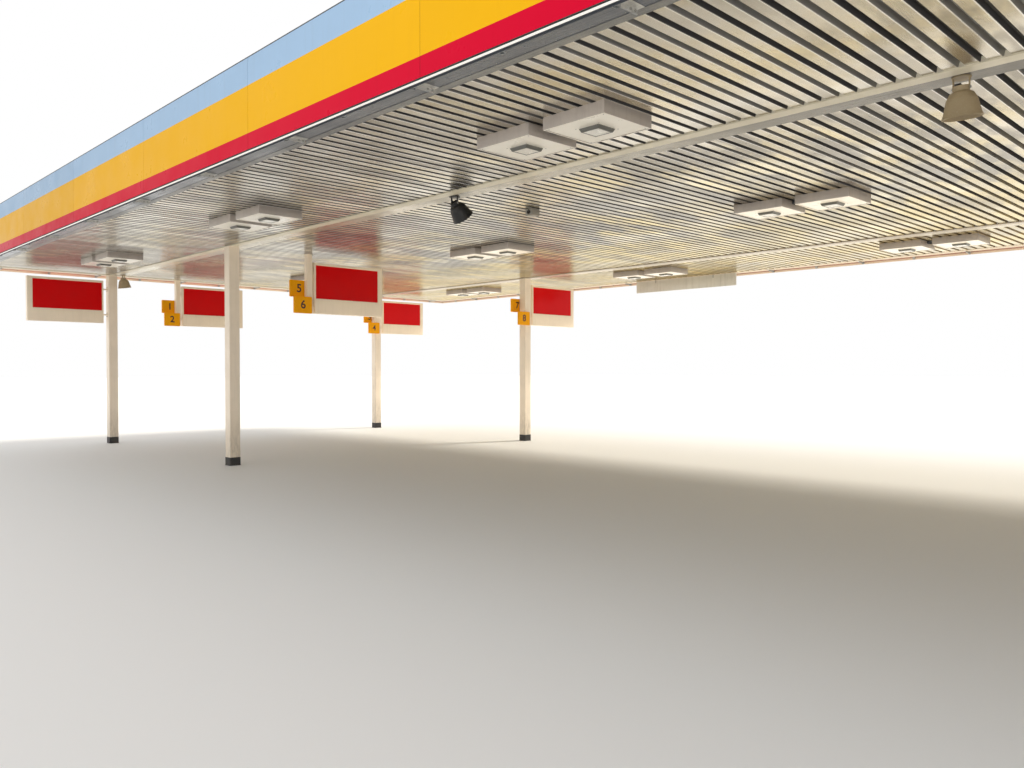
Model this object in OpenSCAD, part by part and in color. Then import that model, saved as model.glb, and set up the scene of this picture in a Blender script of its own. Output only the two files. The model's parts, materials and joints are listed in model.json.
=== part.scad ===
// Filling station canopy. Two rows of square hollow columns carry two long
// main beams. Ribbed metal decking lies between the beams as the soffit and
// the roof, and a striped panel fascia goes round all four sides.
// X runs along the canopy, Y across it, Z up from the ground.

/* [Plan] */
// Distance from one light group to the next. The inner column lines stand three of these apart
bay = 6080; // [5000:10:7200]
// Distance from an inner column line to the end column line
end_bay = 6370; // [5600:10:7200]
// From the end column line to the outer face of the end fascia
end_overhang = 450; // [400:10:900]
// From the front column row to the outer face of the front fascia
front_overhang = 2850; // [2300:10:3600]
// From the front column row to the rear column row
row_gap = 7560; // [6400:10:8400]
// From the rear column row to the outer face of the rear fascia
rear_overhang = 2950; // [1900:10:3600]

/* [Columns] */
// Height from the ground to the underside of the deck
soffit_z = 4000; // [3600:10:4800]
// Outside width of a square hollow column
column_w = 200; // [150:5:250]
// Wall of a column
column_wall = 6; // [4:0.5:10]
// Outside corner radius of a column
column_r = 14; // [10:1:20]
// Thickness of the plate that closes a column at its foot and at its head
column_plate_t = 16; // [10:1:25]
// Height of the black band round a column's foot
foot_h = 150; // [80:5:300]
// Thickness of the foot band
foot_t = 4; // [2:0.5:8]

/* [Beams] */
// Depth of the main beams and of the end beams
beam_h = 460; // [430:5:600]
// Width of a beam flange
beam_w = 140; // [130:5:220]
// Thickness of a beam flange
beam_flange_t = 12; // [8:1:20]
// Thickness of a beam web
beam_web_t = 8; // [5:1:14]
// Depth of the edge channels
channel_h = 300; // [280:5:340]
// Width of an edge channel's flanges
channel_w = 80; // [60:5:150]
// Thickness of an edge channel's metal
channel_t = 5; // [3:0.5:10]
// Distance of the edge channels' webs behind the face of the fascia
channel_setback = 270; // [240:5:400]
// Depth of a rafter where it meets a main beam
rafter_h = 240; // [200:5:260]
// Depth of a rafter at its outer tip
rafter_tip_h = 120; // [90:5:130]
// Width of a rafter flange
rafter_w = 100; // [70:5:150]
// Thickness of a rafter's flanges and web
rafter_t = 7; // [5:0.5:12]
// Depth of a purlin
purlin_h = 100; // [80:5:110]
// Width of a purlin's flanges
purlin_w = 60; // [40:5:80]
// Thickness of a purlin's metal
purlin_t = 3; // [2:0.5:6]
// Widest distance between purlins
purlin_gap = 1850; // [1400:10:2600]

/* [Deck] */
// Distance from one deck rib to the next
rib_pitch = 152; // [120:1:200]
// Width of a rib's opening in the soffit
rib_open = 60; // [45:1:80]
// Width inside the crest of a lap rib
lap_crest = 46; // [36:1:50]
// Width inside the crest of a plain rib
plain_crest = 36; // [26:1:40]
// Height of a rib above the pans
rib_h = 48; // [30:1:60]
// Thickness of the deck's sheet metal
deck_t = 1.2; // [0.8:0.1:3]
// How far the deck lies on each flange that carries it
deck_lap = 30; // [20:1:50]
// Gap between the deck's ends and the webs of the end beams
deck_web_gap = 36; // [20:1:40]
// Width of the gutter behind each main beam
gutter_w = 245; // [160:5:500]
// Height of the gutter's sides
gutter_h = 110; // [60:5:140]
// Thickness of the gutters and flashings
flashing_t = 1.5; // [1:0.1:3]

/* [Fascia] */
// How far the fascia hangs below the soffit
fascia_drop = 48; // [40:1:120]
// Height of the white trim at the foot of the fascia
lip_h = 17; // [12:1:40]
// Thickness of the white trim's metal
lip_t = 4; // [2:0.5:6]
// Height of the black shadow line between the white trim and the red band
shadow_h = 17; // [6:1:30]
// How far the shadow line lies behind the face
shadow_in = 12; // [4:1:20]
// Height of the red band
red_h = 163; // [120:1:260]
// Height of the yellow band
yellow_h = 484; // [400:1:560]
// Height of the white band
white_h = 277; // [200:1:340]
// Thickness of the fascia sheet
fascia_t = 4; // [3:0.5:8]
// Depth of the folded edges of a fascia panel
fascia_fold = 40; // [25:1:60]
// Length of a fascia panel
panel_l = 2850; // [2000:10:3200]
// Distance of the middle joint from the middle of a long side
joint_shift = 160; // [0:10:600]
// Open joint between two fascia panels
panel_joint = 4; // [2:0.5:12]
// Shortest panel at a corner
panel_min = 600; // [400:10:900]
// Number of fascia frames in one bay. Every second frame has an arm under the flashing too
frames_per_bay = 6; // [4:2:8]
// Width of the square post in a fascia frame
post_w = 40; // [30:1:60]
// Wall of the hollow post
post_wall = 3; // [2:0.5:5]
// Width of the capping on top of the fascia
cap_w = 120; // [90:1:160]
// Height of the capping's folded edges
cap_h = 12; // [8:1:30]
// Thickness of the capping's sheet
cap_t = 2; // [1:0.5:4]
// Depth of a fascia frame's arms
arm_h = 35; // [25:1:60]
// Thickness of the bar that a frame's arms and brace are cut from
arm_t = 8; // [5:1:12]
// Width of a frame's brace
brace_w = 30; // [20:1:50]

/* [Lights] */
// Length of a light box along the canopy
light_l = 710; // [500:10:900]
// Width of a light box across the canopy
light_w = 660; // [400:10:720]
// Depth of a light box
light_h = 115; // [60:5:160]
// Gap between the two light boxes of a group
light_gap = 180; // [80:5:300]
// Distance of the front light row in front of the front column row
light_front_off = 1085; // [900:5:1300]
// Distance of the middle light row behind the front column row
light_mid_off = 3630; // [3000:10:4400]
// Distance of the rear light row behind the rear column row
light_rear_off = 980; // [700:5:1200]
// Width of the square lamp unit under a light box
lamp_w = 230; // [150:5:300]
// Depth of the lamp unit
lamp_h = 26; // [10:1:50]

/* [Signs] */
// Length of a sign on a front column or a hanger post
sign_l = 1600; // [1200:10:1700]
// Length of a sign on a rear column
rear_sign_l = 1530; // [1200:10:1600]
// Height of a hanging sign
sign_h = 1000; // [700:10:1200]
// Thickness of a hanging sign
sign_t = 120; // [80:5:180]
// Distance from the soffit to the top of a sign
sign_drop = 150; // [60:5:300]
// Width of the white frame above the red face
sign_frame = 42; // [20:1:90]
// Width of the white frame between the red face and the sign's end at its post
sign_near_rim = 25; // [15:1:90]
// Width of the white frame between the red face and the sign's far end
sign_far_rim = 100; // [30:1:180]
// Height of the red face
face_h = 672; // [400:1:700]
// Depth of the recess in front of the red face
face_recess = 10; // [4:1:20]
// Thickness of the red face
face_t = 4; // [2:0.5:8]
// Gap between a sign and its hanger post, bridged by two brackets
hanger_sign_gap = 45; // [20:1:90]
// Gap between a sign and its column, bridged by two brackets
column_sign_gap = 100; // [40:1:150]
// Width of a sign bracket
bracket_w = 30; // [20:1:60]
// Width of a hanger post
hanger_w = 110; // [70:5:130]
// Width of the square plate on top of a hanger post
hanger_plate_w = 140; // [120:5:200]
// Thickness of the plate on top of a hanger post
hanger_plate_t = 8; // [6:1:16]
// Distance of the hanger posts behind the front column row
hanger_y = 1565; // [1200:5:1700]
// Width of a number plate
plate_w = 380; // [300:5:450]
// Height of a number plate
plate_h = 325; // [220:5:340]
// Thickness of a number plate
plate_t = 45; // [20:1:70]
// Distance from the soffit to the upper number plate
plate_drop = 510; // [400:10:600]
// Distance of a number plate's rear edge behind the middle of its post
plate_seat = 20; // [0:5:50]

/* [Fittings] */
// Diameter of a bell lamp's mouth
bell_d = 290; // [200:5:360]
// Height of a bell lamp's shade with its neck
bell_h = 240; // [200:5:340]
// How far a beige bell lamp is tipped back from upright, in degrees
bell_tilt = 8; // [0:1:50]
// How far the black bell lamp is tipped back from upright, in degrees
bell_black_tilt = 42; // [0:1:50]
// Distance of the bell lamps behind the front main beam
bell_off = 115; // [80:5:200]
// Distance of the outer bell lamp in from the end column line
bell_end = 240; // [200:10:600]
// Width of the square sensor box
sensor_w = 145; // [100:5:200]
// Height of the sensor box
sensor_h = 100; // [60:5:160]
// Distance of the sensor box behind the front column row
sensor_off = 1490; // [1000:10:2000]
// Length of the board under the rear edge channel
board_l = 2850; // [1500:10:3600]
// Distance of the board's middle from the canopy's middle
board_x = 6280; // [2000:10:10000]
// Height of the board
board_h = 290; // [200:5:500]
// Thickness of the board
board_t = 40; // [20:1:60]

/* [Hidden] */

// Light groups and rafters, counted in bays from the middle
light_steps = [-2, -1, 0, 1, 2];
rafter_steps = [-2, -1.5, -1, -0.5, 0, 0.5, 1, 1.5, 2];

inner_line = 1.5 * bay;
end_line = inner_line + end_bay;
column_lines = [-end_line, -inner_line, inner_line, end_line];
half_l = end_line + end_overhang;
half_w = (front_overhang + row_gap + rear_overhang) / 2;
front_row = -half_w + front_overhang;
rear_row = front_row + row_gap;

// Heights
beam_z = soffit_z - beam_flange_t;
purlin_z = soffit_z + rib_h + deck_t;
rafter_z = purlin_z + purlin_h;
fascia_z = soffit_z - fascia_drop;
shadow_z = fascia_z + lip_h;
red_z = shadow_z + shadow_h;
yellow_z = red_z + red_h;
white_z = yellow_z + yellow_h;
fascia_top = white_z + white_h;

// The fascia frames stand behind the folded edges of the panels
post_out = fascia_t + fascia_fold;
post_in = post_out + post_w;
deck_y0 = -half_w + channel_setback + channel_w - deck_lap;
deck_y1 = half_w - channel_setback - channel_w + deck_lap;
gutter_front_y = front_row + beam_w / 2;
gutter_rear_y = rear_row + beam_w / 2;
deck_half_l = end_line - beam_web_t / 2 - deck_web_gap;
frame_pitch = bay / frames_per_bay;
// Least distance from a frame to a corner of the canopy
corner_clear = 300;
// Half the gap between two parts that meet at a mitred corner
mitre_gap = 1;
// How far a cut reaches past the faces it cuts
cut_over = 0.01;

// A square with round corners, centred on the origin
module round_square(w, r) {
    square([w - 2 * r, w], center = true);
    square([w, w - 2 * r], center = true);
    for (sx = [-1, 1], sy = [-1, 1])
        translate([sx * (w / 2 - r), sy * (w / 2 - r)]) circle(r, $fn = 48);
}

// Outline of an I section that stands on its bottom flange
module i_section(h, w, flange_t, web_t) {
    translate([-w / 2, 0]) square([w, flange_t]);
    translate([-web_t / 2, 0]) square([web_t, h]);
    translate([-w / 2, h - flange_t]) square([w, flange_t]);
}

// Outline of a channel whose web stands on the left and opens to the right
module c_section(h, w, t) {
    square([t, h]);
    square([w, t]);
    translate([0, h - t]) square([w, t]);
}

// Extrudes an outline along X from x0 to x1
module along_x(x0, x1) {
    translate([x0, 0, 0]) rotate([90, 0, 90]) linear_extrude(x1 - x0) children();
}

// Extrudes an outline along Y from y0 to y1, with the outline's x kept along X
module along_y(y0, y1) {
    translate([0, y1, 0]) rotate([90, 0, 0]) linear_extrude(y1 - y0) children();
}

// Mirrors what it holds where flip is true
module flipped(way, flip) {
    if (flip) mirror(way) children();
    else children();
}

// Columns

module column(line, row_y) {
    shaft_top = beam_z - column_plate_t;
    color("white") translate([column_lines[line], row_y, 0]) {
        linear_extrude(column_plate_t) round_square(column_w, column_r);
        translate([0, 0, column_plate_t])
            linear_extrude(shaft_top - column_plate_t)
                difference() {
                    round_square(column_w, column_r);
                    round_square(column_w - 2 * column_wall, column_r - column_wall);
                }
        translate([0, 0, shaft_top]) linear_extrude(column_plate_t) round_square(column_w, column_r);
    }
}

module column_foot_bands() {
    color("black")
        for (line_x = column_lines, row_y = [front_row, rear_row])
            translate([line_x, row_y, 0])
                linear_extrude(foot_h)
                    difference() {
                        round_square(column_w + 2 * foot_t, column_r + foot_t);
                        round_square(column_w, column_r);
                    }
}

// Beams

module main_beam(row_y) {
    color("ivory")
        difference() {
            translate([0, row_y, beam_z])
                along_x(-end_line + beam_web_t / 2, end_line - beam_web_t / 2)
                    i_section(beam_h, beam_w, beam_flange_t, beam_web_t);
            for (side = [-1, 1], z = [beam_z, beam_z + beam_h - beam_flange_t])
                translate([side * end_line, row_y, z + beam_flange_t / 2])
                    cube([beam_w, beam_w + 2 * cut_over, beam_flange_t + 2 * cut_over], center = true);
        }
}

module end_beam(side) {
    color("ivory")
        translate([side * end_line, 0, beam_z])
            along_y(-half_w + channel_setback + channel_w, half_w - channel_setback - channel_w)
                i_section(beam_h, beam_w, beam_flange_t, beam_web_t);
}

module edge_channel(side) {
    color("gainsboro")
        translate([0, side * (half_w - channel_setback), soffit_z - channel_t])
            along_x(-end_line - beam_w / 2, end_line + beam_w / 2)
                flipped([1, 0], side > 0) c_section(channel_h, channel_w, channel_t);
}

// A cantilever rafter from a main beam's web to an edge channel's web
module cantilever_rafter(x, y_root, y_tip) {
    run = abs(y_tip - y_root);
    translate([x, y_root, rafter_z]) flipped([0, 1, 0], y_tip < y_root) {
        translate([-rafter_t / 2, 0, 0]) rotate([90, 0, 90]) linear_extrude(rafter_t)
            polygon([[0, 0], [run, 0], [run, rafter_tip_h], [0, rafter_h]]);
        translate([-rafter_w / 2, 0, 0]) cube([rafter_w, run, rafter_t]);
        translate([-rafter_w / 2, 0, 0]) rotate([90, 0, 90]) linear_extrude(rafter_w)
            polygon([
                [0, rafter_h - rafter_t], [run, rafter_tip_h - rafter_t],
                [run, rafter_tip_h], [0, rafter_h]
            ]);
    }
}

module rafters_front() {
    color("silver")
        for (step = rafter_steps)
            cantilever_rafter(step * bay, front_row - beam_web_t / 2, -half_w + channel_setback + channel_t);
}

module rafters_rear() {
    color("silver")
        for (step = rafter_steps)
            cantilever_rafter(step * bay, rear_row + beam_web_t / 2, half_w - channel_setback - channel_t);
}

module rafters_middle() {
    color("silver")
        for (step = rafter_steps)
            translate([step * bay, 0, rafter_z])
                along_y(front_row + beam_web_t / 2, rear_row - beam_web_t / 2)
                    i_section(rafter_h, rafter_w, rafter_t, rafter_t);
}

// Purlins lie on the deck's ribs and run from end beam to end beam
module purlin(y) {
    translate([0, y - purlin_w / 2, purlin_z])
        along_x(-end_line + beam_web_t / 2, end_line - beam_web_t / 2)
            c_section(purlin_h, purlin_w, purlin_t);
}

// Purlins over one deck field, evenly spaced and clear of its two edges
module purlin_field(y0, y1) {
    count = max(1, ceil((y1 - y0) / purlin_gap) - 1);
    for (i = [1 : count]) purlin(y0 + (y1 - y0) * i / (count + 1));
}

module purlins() {
    color("lightgray") {
        purlin_field(-half_w + channel_setback, front_row);
        purlin_field(gutter_front_y + gutter_w, rear_row);
        purlin_field(gutter_rear_y + gutter_w, half_w - channel_setback);
    }
}

// Deck

// Half the crest of rib number i: lap ribs and plain ribs take turns
function half_crest(i) = (i % 2 == 0 ? lap_crest : plain_crest) / 2;

// How far a corner of the sheet's upper side stands out from the same corner below
function corner_shift(i) = deck_t * tan(atan2(rib_h, rib_open / 2 - half_crest(i)) / 2);

function rib_below(i, x) = [
    [x - rib_open / 2, 0], [x - half_crest(i), rib_h],
    [x + half_crest(i), rib_h], [x + rib_open / 2, 0]
];

function rib_above(i, x) = let (s = corner_shift(i)) [
    [x + rib_open / 2 + s, deck_t], [x + half_crest(i) + s, rib_h + deck_t],
    [x - half_crest(i) - s, rib_h + deck_t], [x - rib_open / 2 - s, deck_t]
];

module deck_field(y0, y1) {
    ribs = floor((2 * deck_half_l - 2 * deck_lap - rib_open) / rib_pitch);
    function rib_x(i) = (i - (ribs - 1) / 2) * rib_pitch;
    below = [for (i = [0 : ribs - 1]) each rib_below(i, rib_x(i))];
    above = [for (i = [ribs - 1 : -1 : 0]) each rib_above(i, rib_x(i))];
    color("silver")
        translate([0, 0, soffit_z])
            along_y(y0, y1)
                polygon(concat(
                    [[-deck_half_l, 0]], below, [[deck_half_l, 0], [deck_half_l, deck_t]],
                    above, [[-deck_half_l, deck_t]]
                ));
}

// A shallow gutter beside a main beam. Its sole is flush with the soffit.
module gutter(y) {
    color("gray")
        translate([0, y - deck_lap, soffit_z])
            along_x(-deck_half_l, deck_half_l) {
                square([gutter_w + deck_lap, flashing_t]);
                translate([gutter_w + deck_lap - flashing_t, 0]) square([flashing_t, gutter_h]);
            }
}

// Flat flashing between the fascia frames and the edge of the soffit
module flashing_long(side) {
    y_out = half_w - post_in;
    y_in = half_w - channel_setback;
    color("silver")
        translate([-half_l + post_in, side > 0 ? y_in : -y_out, soffit_z - flashing_t])
            cube([2 * (half_l - post_in), y_out - y_in, flashing_t]);
}

module flashing_end(side) {
    x_in = end_line + beam_w / 2;
    x_out = half_l - post_in;
    y_half = half_w - channel_setback;
    color("silver")
        translate([side > 0 ? x_in : -x_out, -y_half, soffit_z - flashing_t])
            cube([x_out - x_in, 2 * y_half, flashing_t]);
}

// Fascia

// Frame and panel places along a side of half length h
function steps_within(h, pitch, clear) = floor((h - clear) / pitch);

// The middle joint of the long sides is off the middle. The ends' joints are even.
function shift_of(half_side) = half_side == half_l ? -joint_shift : 0;

// One frame in its own plane: x runs inwards from the fascia's outer face
module fascia_frame(low_reach, top_reach, has_low_arm) {
    top_z = soffit_z + channel_h - channel_t - arm_h;
    brace_z = fascia_top - post_w * 3;
    translate([post_out + post_w / 2, fascia_z, 0])
        rotate([-90, 0, 0])
            linear_extrude(fascia_top - fascia_z)
                difference() {
                    square(post_w, center = true);
                    square(post_w - 2 * post_wall, center = true);
                }
    translate([0, 0, -arm_t / 2]) linear_extrude(arm_t) {
        if (has_low_arm)
            translate([post_in, soffit_z - flashing_t - arm_h]) square([low_reach - post_in, arm_h]);
        translate([post_in, top_z]) square([top_reach - post_in, arm_h]);
        polygon([
            [post_in, brace_z - brace_w * 2], [post_in, brace_z],
            [top_reach, top_z + arm_h], [top_reach, top_z]
        ]);
    }
}

module fascia_frames_long(side) {
    steps = steps_within(half_l, frame_pitch, corner_clear);
    color("silver")
        flipped([0, 1, 0], side < 0)
            for (i = [-steps : steps])
                translate([i * frame_pitch, half_w, 0])
                    rotate([90, 0, -90]) fascia_frame(channel_setback, channel_setback, i % 2 == 0);
}

module fascia_frames_end(side) {
    steps = steps_within(half_w, frame_pitch, corner_clear);
    reach = half_l - end_line - beam_w / 2;
    color("silver")
        flipped([1, 0, 0], side < 0)
            for (i = [-steps : steps])
                translate([half_l, i * frame_pitch, 0])
                    rotate([90, 0, 180])
                        fascia_frame(reach, reach + beam_w / 2 - beam_web_t / 2, i % 2 == 0);
}

// Keeps the part of a side between the two mitres at its corners
module mitred(half_side) {
    big = cap_w * 2;
    intersection() {
        children();
        translate([0, 0, -mitre_gap])
            linear_extrude(fascia_top + cap_h + 2 * mitre_gap)
                polygon([
                    [-half_side + mitre_gap, 0], [half_side - mitre_gap, 0],
                    [half_side - mitre_gap - big, -big], [-half_side + mitre_gap + big, -big]
                ]);
    }
}

// Panels of one band. The side's outer face lies at y = 0 and the fascia runs along X.
module band_panels(half_side, z, h) {
    shift = shift_of(half_side);
    n = steps_within(half_side, panel_l, panel_min + abs(shift));
    joints = [for (i = [-n : n]) i * panel_l + shift];
    starts = concat([-half_side], joints);
    ends = concat(joints, [half_side]);
    mitred(half_side)
        for (i = [0 : len(starts) - 1])
            translate([0, 0, z])
                along_x(starts[i] + (i == 0 ? 0 : panel_joint / 2),
                        ends[i] - (i == len(starts) - 1 ? 0 : panel_joint / 2))
                    mirror([1, 0]) c_section(h, fascia_t + fascia_fold, fascia_t);
}

// Places a side built with its outer face at y = 0
module on_front() {
    translate([0, -half_w, 0]) rotate([0, 0, 180]) children();
}

module on_rear() {
    translate([0, half_w, 0]) children();
}

module on_left() {
    translate([-half_l, 0, 0]) rotate([0, 0, 90]) children();
}

module on_right() {
    translate([half_l, 0, 0]) rotate([0, 0, -90]) children();
}

module red_band(half_side) {
    color("crimson") band_panels(half_side, red_z, red_h);
}

module yellow_band(half_side) {
    color("gold") band_panels(half_side, yellow_z, yellow_h);
}

module white_band(half_side) {
    color("white") band_panels(half_side, white_z, white_h);
}

// The capping stands on the white band and on the heads of the posts
module cap_length(half_side) {
    mitred(half_side)
        translate([0, 0, fascia_top])
            along_x(-half_side, half_side) {
                translate([-cap_w, cap_h - cap_t]) square([cap_w, cap_t]);
                translate([-fascia_t, 0]) square([fascia_t, cap_h]);
                translate([-post_in, 0]) square([post_w, cap_h]);
            }
}

module fascia_cap() {
    color("dimgray") {
        on_front() cap_length(half_l);
        on_rear() cap_length(half_l);
        on_left() cap_length(half_w);
        on_right() cap_length(half_w);
    }
}

module shadow_length(half_side) {
    mitred(half_side)
        translate([0, 0, shadow_z])
            along_x(-half_side + shadow_in, half_side - shadow_in)
                translate([-post_out + lip_t, 0]) square([post_out - lip_t - shadow_in, shadow_h]);
}

module fascia_shadow_strip() {
    color("black") {
        on_front() shadow_length(half_l);
        on_rear() shadow_length(half_l);
        on_left() shadow_length(half_w);
        on_right() shadow_length(half_w);
    }
}

// The white trim is a channel that opens down. Its inner leg rises to the red band.
module lip_length(half_side) {
    leg = -post_out + lip_t;
    mitred(half_side)
        translate([0, 0, fascia_z])
            along_x(-half_side, half_side)
                polygon([
                    [0, 0], [0, lip_h], [leg, lip_h], [leg, lip_h + shadow_h], [-post_out, lip_h + shadow_h],
                    [-post_out, 0], [leg, 0], [leg, lip_h - lip_t], [-lip_t, lip_h - lip_t], [-lip_t, 0]
                ]);
}

module fascia_lip() {
    color("white") {
        on_front() lip_length(half_l);
        on_rear() lip_length(half_l);
        on_left() lip_length(half_w);
        on_right() lip_length(half_w);
    }
}

// Lights

module light_box(x, y) {
    translate([x - light_l / 2, y - light_w / 2, soffit_z - light_h]) cube([light_l, light_w, light_h]);
}

module light_row(y) {
    color("snow")
        for (step = light_steps, side = [-1, 1])
            light_box(step * bay + side * (light_l + light_gap) / 2, y);
}

light_rows = [front_row - light_front_off, front_row + light_mid_off, rear_row + light_rear_off];

module lamp_units() {
    color("lightyellow")
        for (y = light_rows, step = light_steps, side = [-1, 1])
            translate([step * bay + side * (light_l + light_gap) / 2, y, soffit_z - light_h - lamp_h / 2])
                cube([lamp_w, lamp_w, lamp_h], center = true);
}

// Signs

// Each sign place: the post's x and y, the post's width, the way the sign points, its gap and length
hanger_posts_y = front_row + hanger_y;
sign_places = [
    for (line_x = column_lines) each concat(
        abs(line_x) == end_line ? [[line_x, front_row, column_w, -1, column_sign_gap, sign_l]] : [],
        [
            [line_x, hanger_posts_y, hanger_w, 1, hanger_sign_gap, sign_l],
            [line_x, rear_row, column_w, 1, column_sign_gap, rear_sign_l]
        ]
    )
];

// Underside of what a hanger post hangs from
function hanger_top(line_x) = abs(line_x) == end_line ? beam_z : soffit_z;

module sign_hangers() {
    bottom = soffit_z - sign_drop - sign_h;
    color("white")
        for (line_x = column_lines)
            translate([line_x, hanger_posts_y, 0]) {
                top = hanger_top(line_x);
                translate([-hanger_w / 2, -hanger_w / 2, bottom])
                    cube([hanger_w, hanger_w, top - bottom - hanger_plate_t]);
                translate([-hanger_plate_w / 2, -hanger_plate_w / 2, top - hanger_plate_t])
                    cube([hanger_plate_w, hanger_plate_w, hanger_plate_t]);
            }
}

// Puts a sign built along +Y from its post's face at the origin
module at_sign(place) {
    translate([place[0], place[1], soffit_z - sign_drop - sign_h])
        flipped([0, 1, 0], place[3] < 0)
            translate([0, place[2] / 2, 0]) children();
}

// Middle of a sign's red face along the sign, from the post's face
function face_mid(place) = place[4] + (place[5] + sign_near_rim - sign_far_rim) / 2;

// Length of a sign's red face
function face_l(place) = place[5] - sign_near_rim - sign_far_rim;

module sign_boxes() {
    color("white")
        for (place = sign_places)
            at_sign(place) {
                difference() {
                    translate([-sign_t / 2, place[4], 0]) cube([sign_t, place[5], sign_h]);
                    for (side = [-1, 1])
                        translate([
                            side * (sign_t - face_recess - face_t),
                            face_mid(place), sign_h - sign_frame - face_h / 2
                        ])
                            cube([sign_t, face_l(place), face_h], center = true);
                }
                for (z = [sign_h / 5, sign_h - sign_h / 5])
                    translate([-bracket_w / 2, 0, z - bracket_w / 2])
                        cube([bracket_w, place[4], bracket_w]);
            }
}

module sign_faces() {
    color("red")
        for (place = sign_places, side = [-1, 1])
            at_sign(place)
                translate([
                    side * (sign_t / 2 - face_recess - face_t / 2),
                    face_mid(place), sign_h - sign_frame - face_h / 2
                ])
                    cube([face_t, face_l(place), face_h], center = true);
}

// Two plates beside each post that carries a rearward sign, one on each side of the post
module number_plates() {
    color("orange")
        for (place = sign_places)
            if (place[3] > 0)
                for (low = [0, 1])
                    translate([
                        place[0] + (low == 1 ? 1 : -1) * (place[2] + plate_t) / 2,
                        place[1] + plate_seat - plate_w / 2,
                        soffit_z - plate_drop - plate_h * (low + 0.5)
                    ])
                        cube([plate_t, plate_w, plate_h], center = true);
}

// Fittings

bell_y = front_row + beam_w / 2 + bell_off;
bell_bracket_h = 85;
bell_leg_w = 20;
bell_leg_t = 8;
bell_neck_d = bell_d * 0.4;
bell_neck_l = bell_h * 0.16;
bell_bore_d = bell_neck_d / 4;
bell_wall = 5;
// Points of the shade's outer side: the radius as a share of bell_d, the depth as a share of bell_h
bell_curve = [[0.3, 0.24], [0.38, 0.42], [0.43, 0.68], [0.47, 0.88], [0.5, 1]];

// Outline of the shade and its neck, from the axis outwards. The mouth is at the foot.
module bell_outline() {
    outer = [for (share = bell_curve) [share[0] * bell_d, -share[1] * bell_h]];
    inner = [for (i = [len(outer) - 1 : -1 : 0]) outer[i] - [bell_wall, 0]];
    polygon(concat(
        [[bell_bore_d / 2, 0], [bell_neck_d / 2, 0], [bell_neck_d / 2, -bell_neck_l]],
        outer, inner,
        [[bell_neck_d / 2 - bell_wall, -bell_neck_l - bell_wall], [bell_bore_d / 2, -bell_neck_l - bell_wall]]
    ));
}

// A bell-shaped lamp that hangs from a two-legged bracket under the soffit
module bell_lamp(x, tilt) {
    leg_x = bell_neck_d / 2;
    translate([x, bell_y, soffit_z]) {
        translate([0, 0, -bell_leg_t])
            cylinder(h = bell_leg_t, d = bell_neck_d + 3 * bell_leg_t, $fn = 48);
        for (side = [-1, 1])
            translate([side * leg_x - bell_leg_t / 2, -bell_leg_w / 2, -bell_bracket_h - bell_leg_w / 2])
                cube([bell_leg_t, bell_leg_w, bell_bracket_h + bell_leg_w / 2 - bell_leg_t]);
        translate([0, 0, -bell_bracket_h])
            rotate([tilt, 0, 0])
                translate([0, 0, bell_neck_l / 2]) rotate_extrude($fn = 72) bell_outline();
    }
}

module bell_lamps() {
    color("tan") {
        bell_lamp(-end_line + bell_end, bell_tilt);
        bell_lamp(bay / 2, bell_tilt);
    }
}

module bell_lamp_black() {
    color("black") bell_lamp(-bay / 2, bell_black_tilt);
}

module sensor_box() {
    color("gray")
        translate([-bay / 2 + sensor_w, front_row + sensor_off, soffit_z - sensor_h / 2])
            cube([sensor_w, sensor_w, sensor_h], center = true);
}

module rear_board() {
    color("whitesmoke")
        translate([-board_x, half_w - channel_setback - channel_w / 2, soffit_z - channel_t - board_h / 2])
            cube([board_l, board_t, board_h], center = true);
}

column(0, front_row);  // column_front_1
column(1, front_row);  // column_front_2
column(2, front_row);  // column_front_3
column(3, front_row);  // column_front_4
column(0, rear_row);  // column_rear_1
column(1, rear_row);  // column_rear_2
column(2, rear_row);  // column_rear_3
column(3, rear_row);  // column_rear_4
column_foot_bands();
main_beam(front_row);  // main_beam_front
main_beam(rear_row);  // main_beam_rear
end_beam(-1);  // end_beam_left
end_beam(1);  // end_beam_right
edge_channel(-1);  // edge_channel_front
edge_channel(1);  // edge_channel_rear
rafters_front();
rafters_middle();
rafters_rear();
purlins();
deck_field(deck_y0, front_row - beam_w / 2 + deck_lap);  // deck_front
deck_field(gutter_front_y + gutter_w, rear_row - beam_w / 2 + deck_lap);  // deck_middle
deck_field(gutter_rear_y + gutter_w, deck_y1);  // deck_rear
gutter(gutter_front_y);  // gutter_front
gutter(gutter_rear_y);  // gutter_rear
flashing_long(-1);  // flashing_front
flashing_long(1);  // flashing_rear
flashing_end(-1);  // flashing_left
flashing_end(1);  // flashing_right
fascia_frames_long(-1);  // fascia_frames_front
fascia_frames_long(1);  // fascia_frames_rear
fascia_frames_end(-1);  // fascia_frames_left
fascia_frames_end(1);  // fascia_frames_right
on_front() white_band(half_l);  // fascia_white_front
on_rear() white_band(half_l);  // fascia_white_rear
on_left() white_band(half_w);  // fascia_white_left
on_right() white_band(half_w);  // fascia_white_right
on_front() yellow_band(half_l);  // fascia_yellow_front
on_rear() yellow_band(half_l);  // fascia_yellow_rear
on_left() yellow_band(half_w);  // fascia_yellow_left
on_right() yellow_band(half_w);  // fascia_yellow_right
on_front() red_band(half_l);  // fascia_red_front
on_rear() red_band(half_l);  // fascia_red_rear
on_left() red_band(half_w);  // fascia_red_left
on_right() red_band(half_w);  // fascia_red_right
fascia_cap();
fascia_shadow_strip();
fascia_lip();
light_row(light_rows[0]);  // lights_front
light_row(light_rows[1]);  // lights_middle
light_row(light_rows[2]);  // lights_rear
lamp_units();
sign_hangers();
sign_boxes();
sign_faces();
number_plates();
bell_lamps();
bell_lamp_black();
sensor_box();
rear_board();
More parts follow.
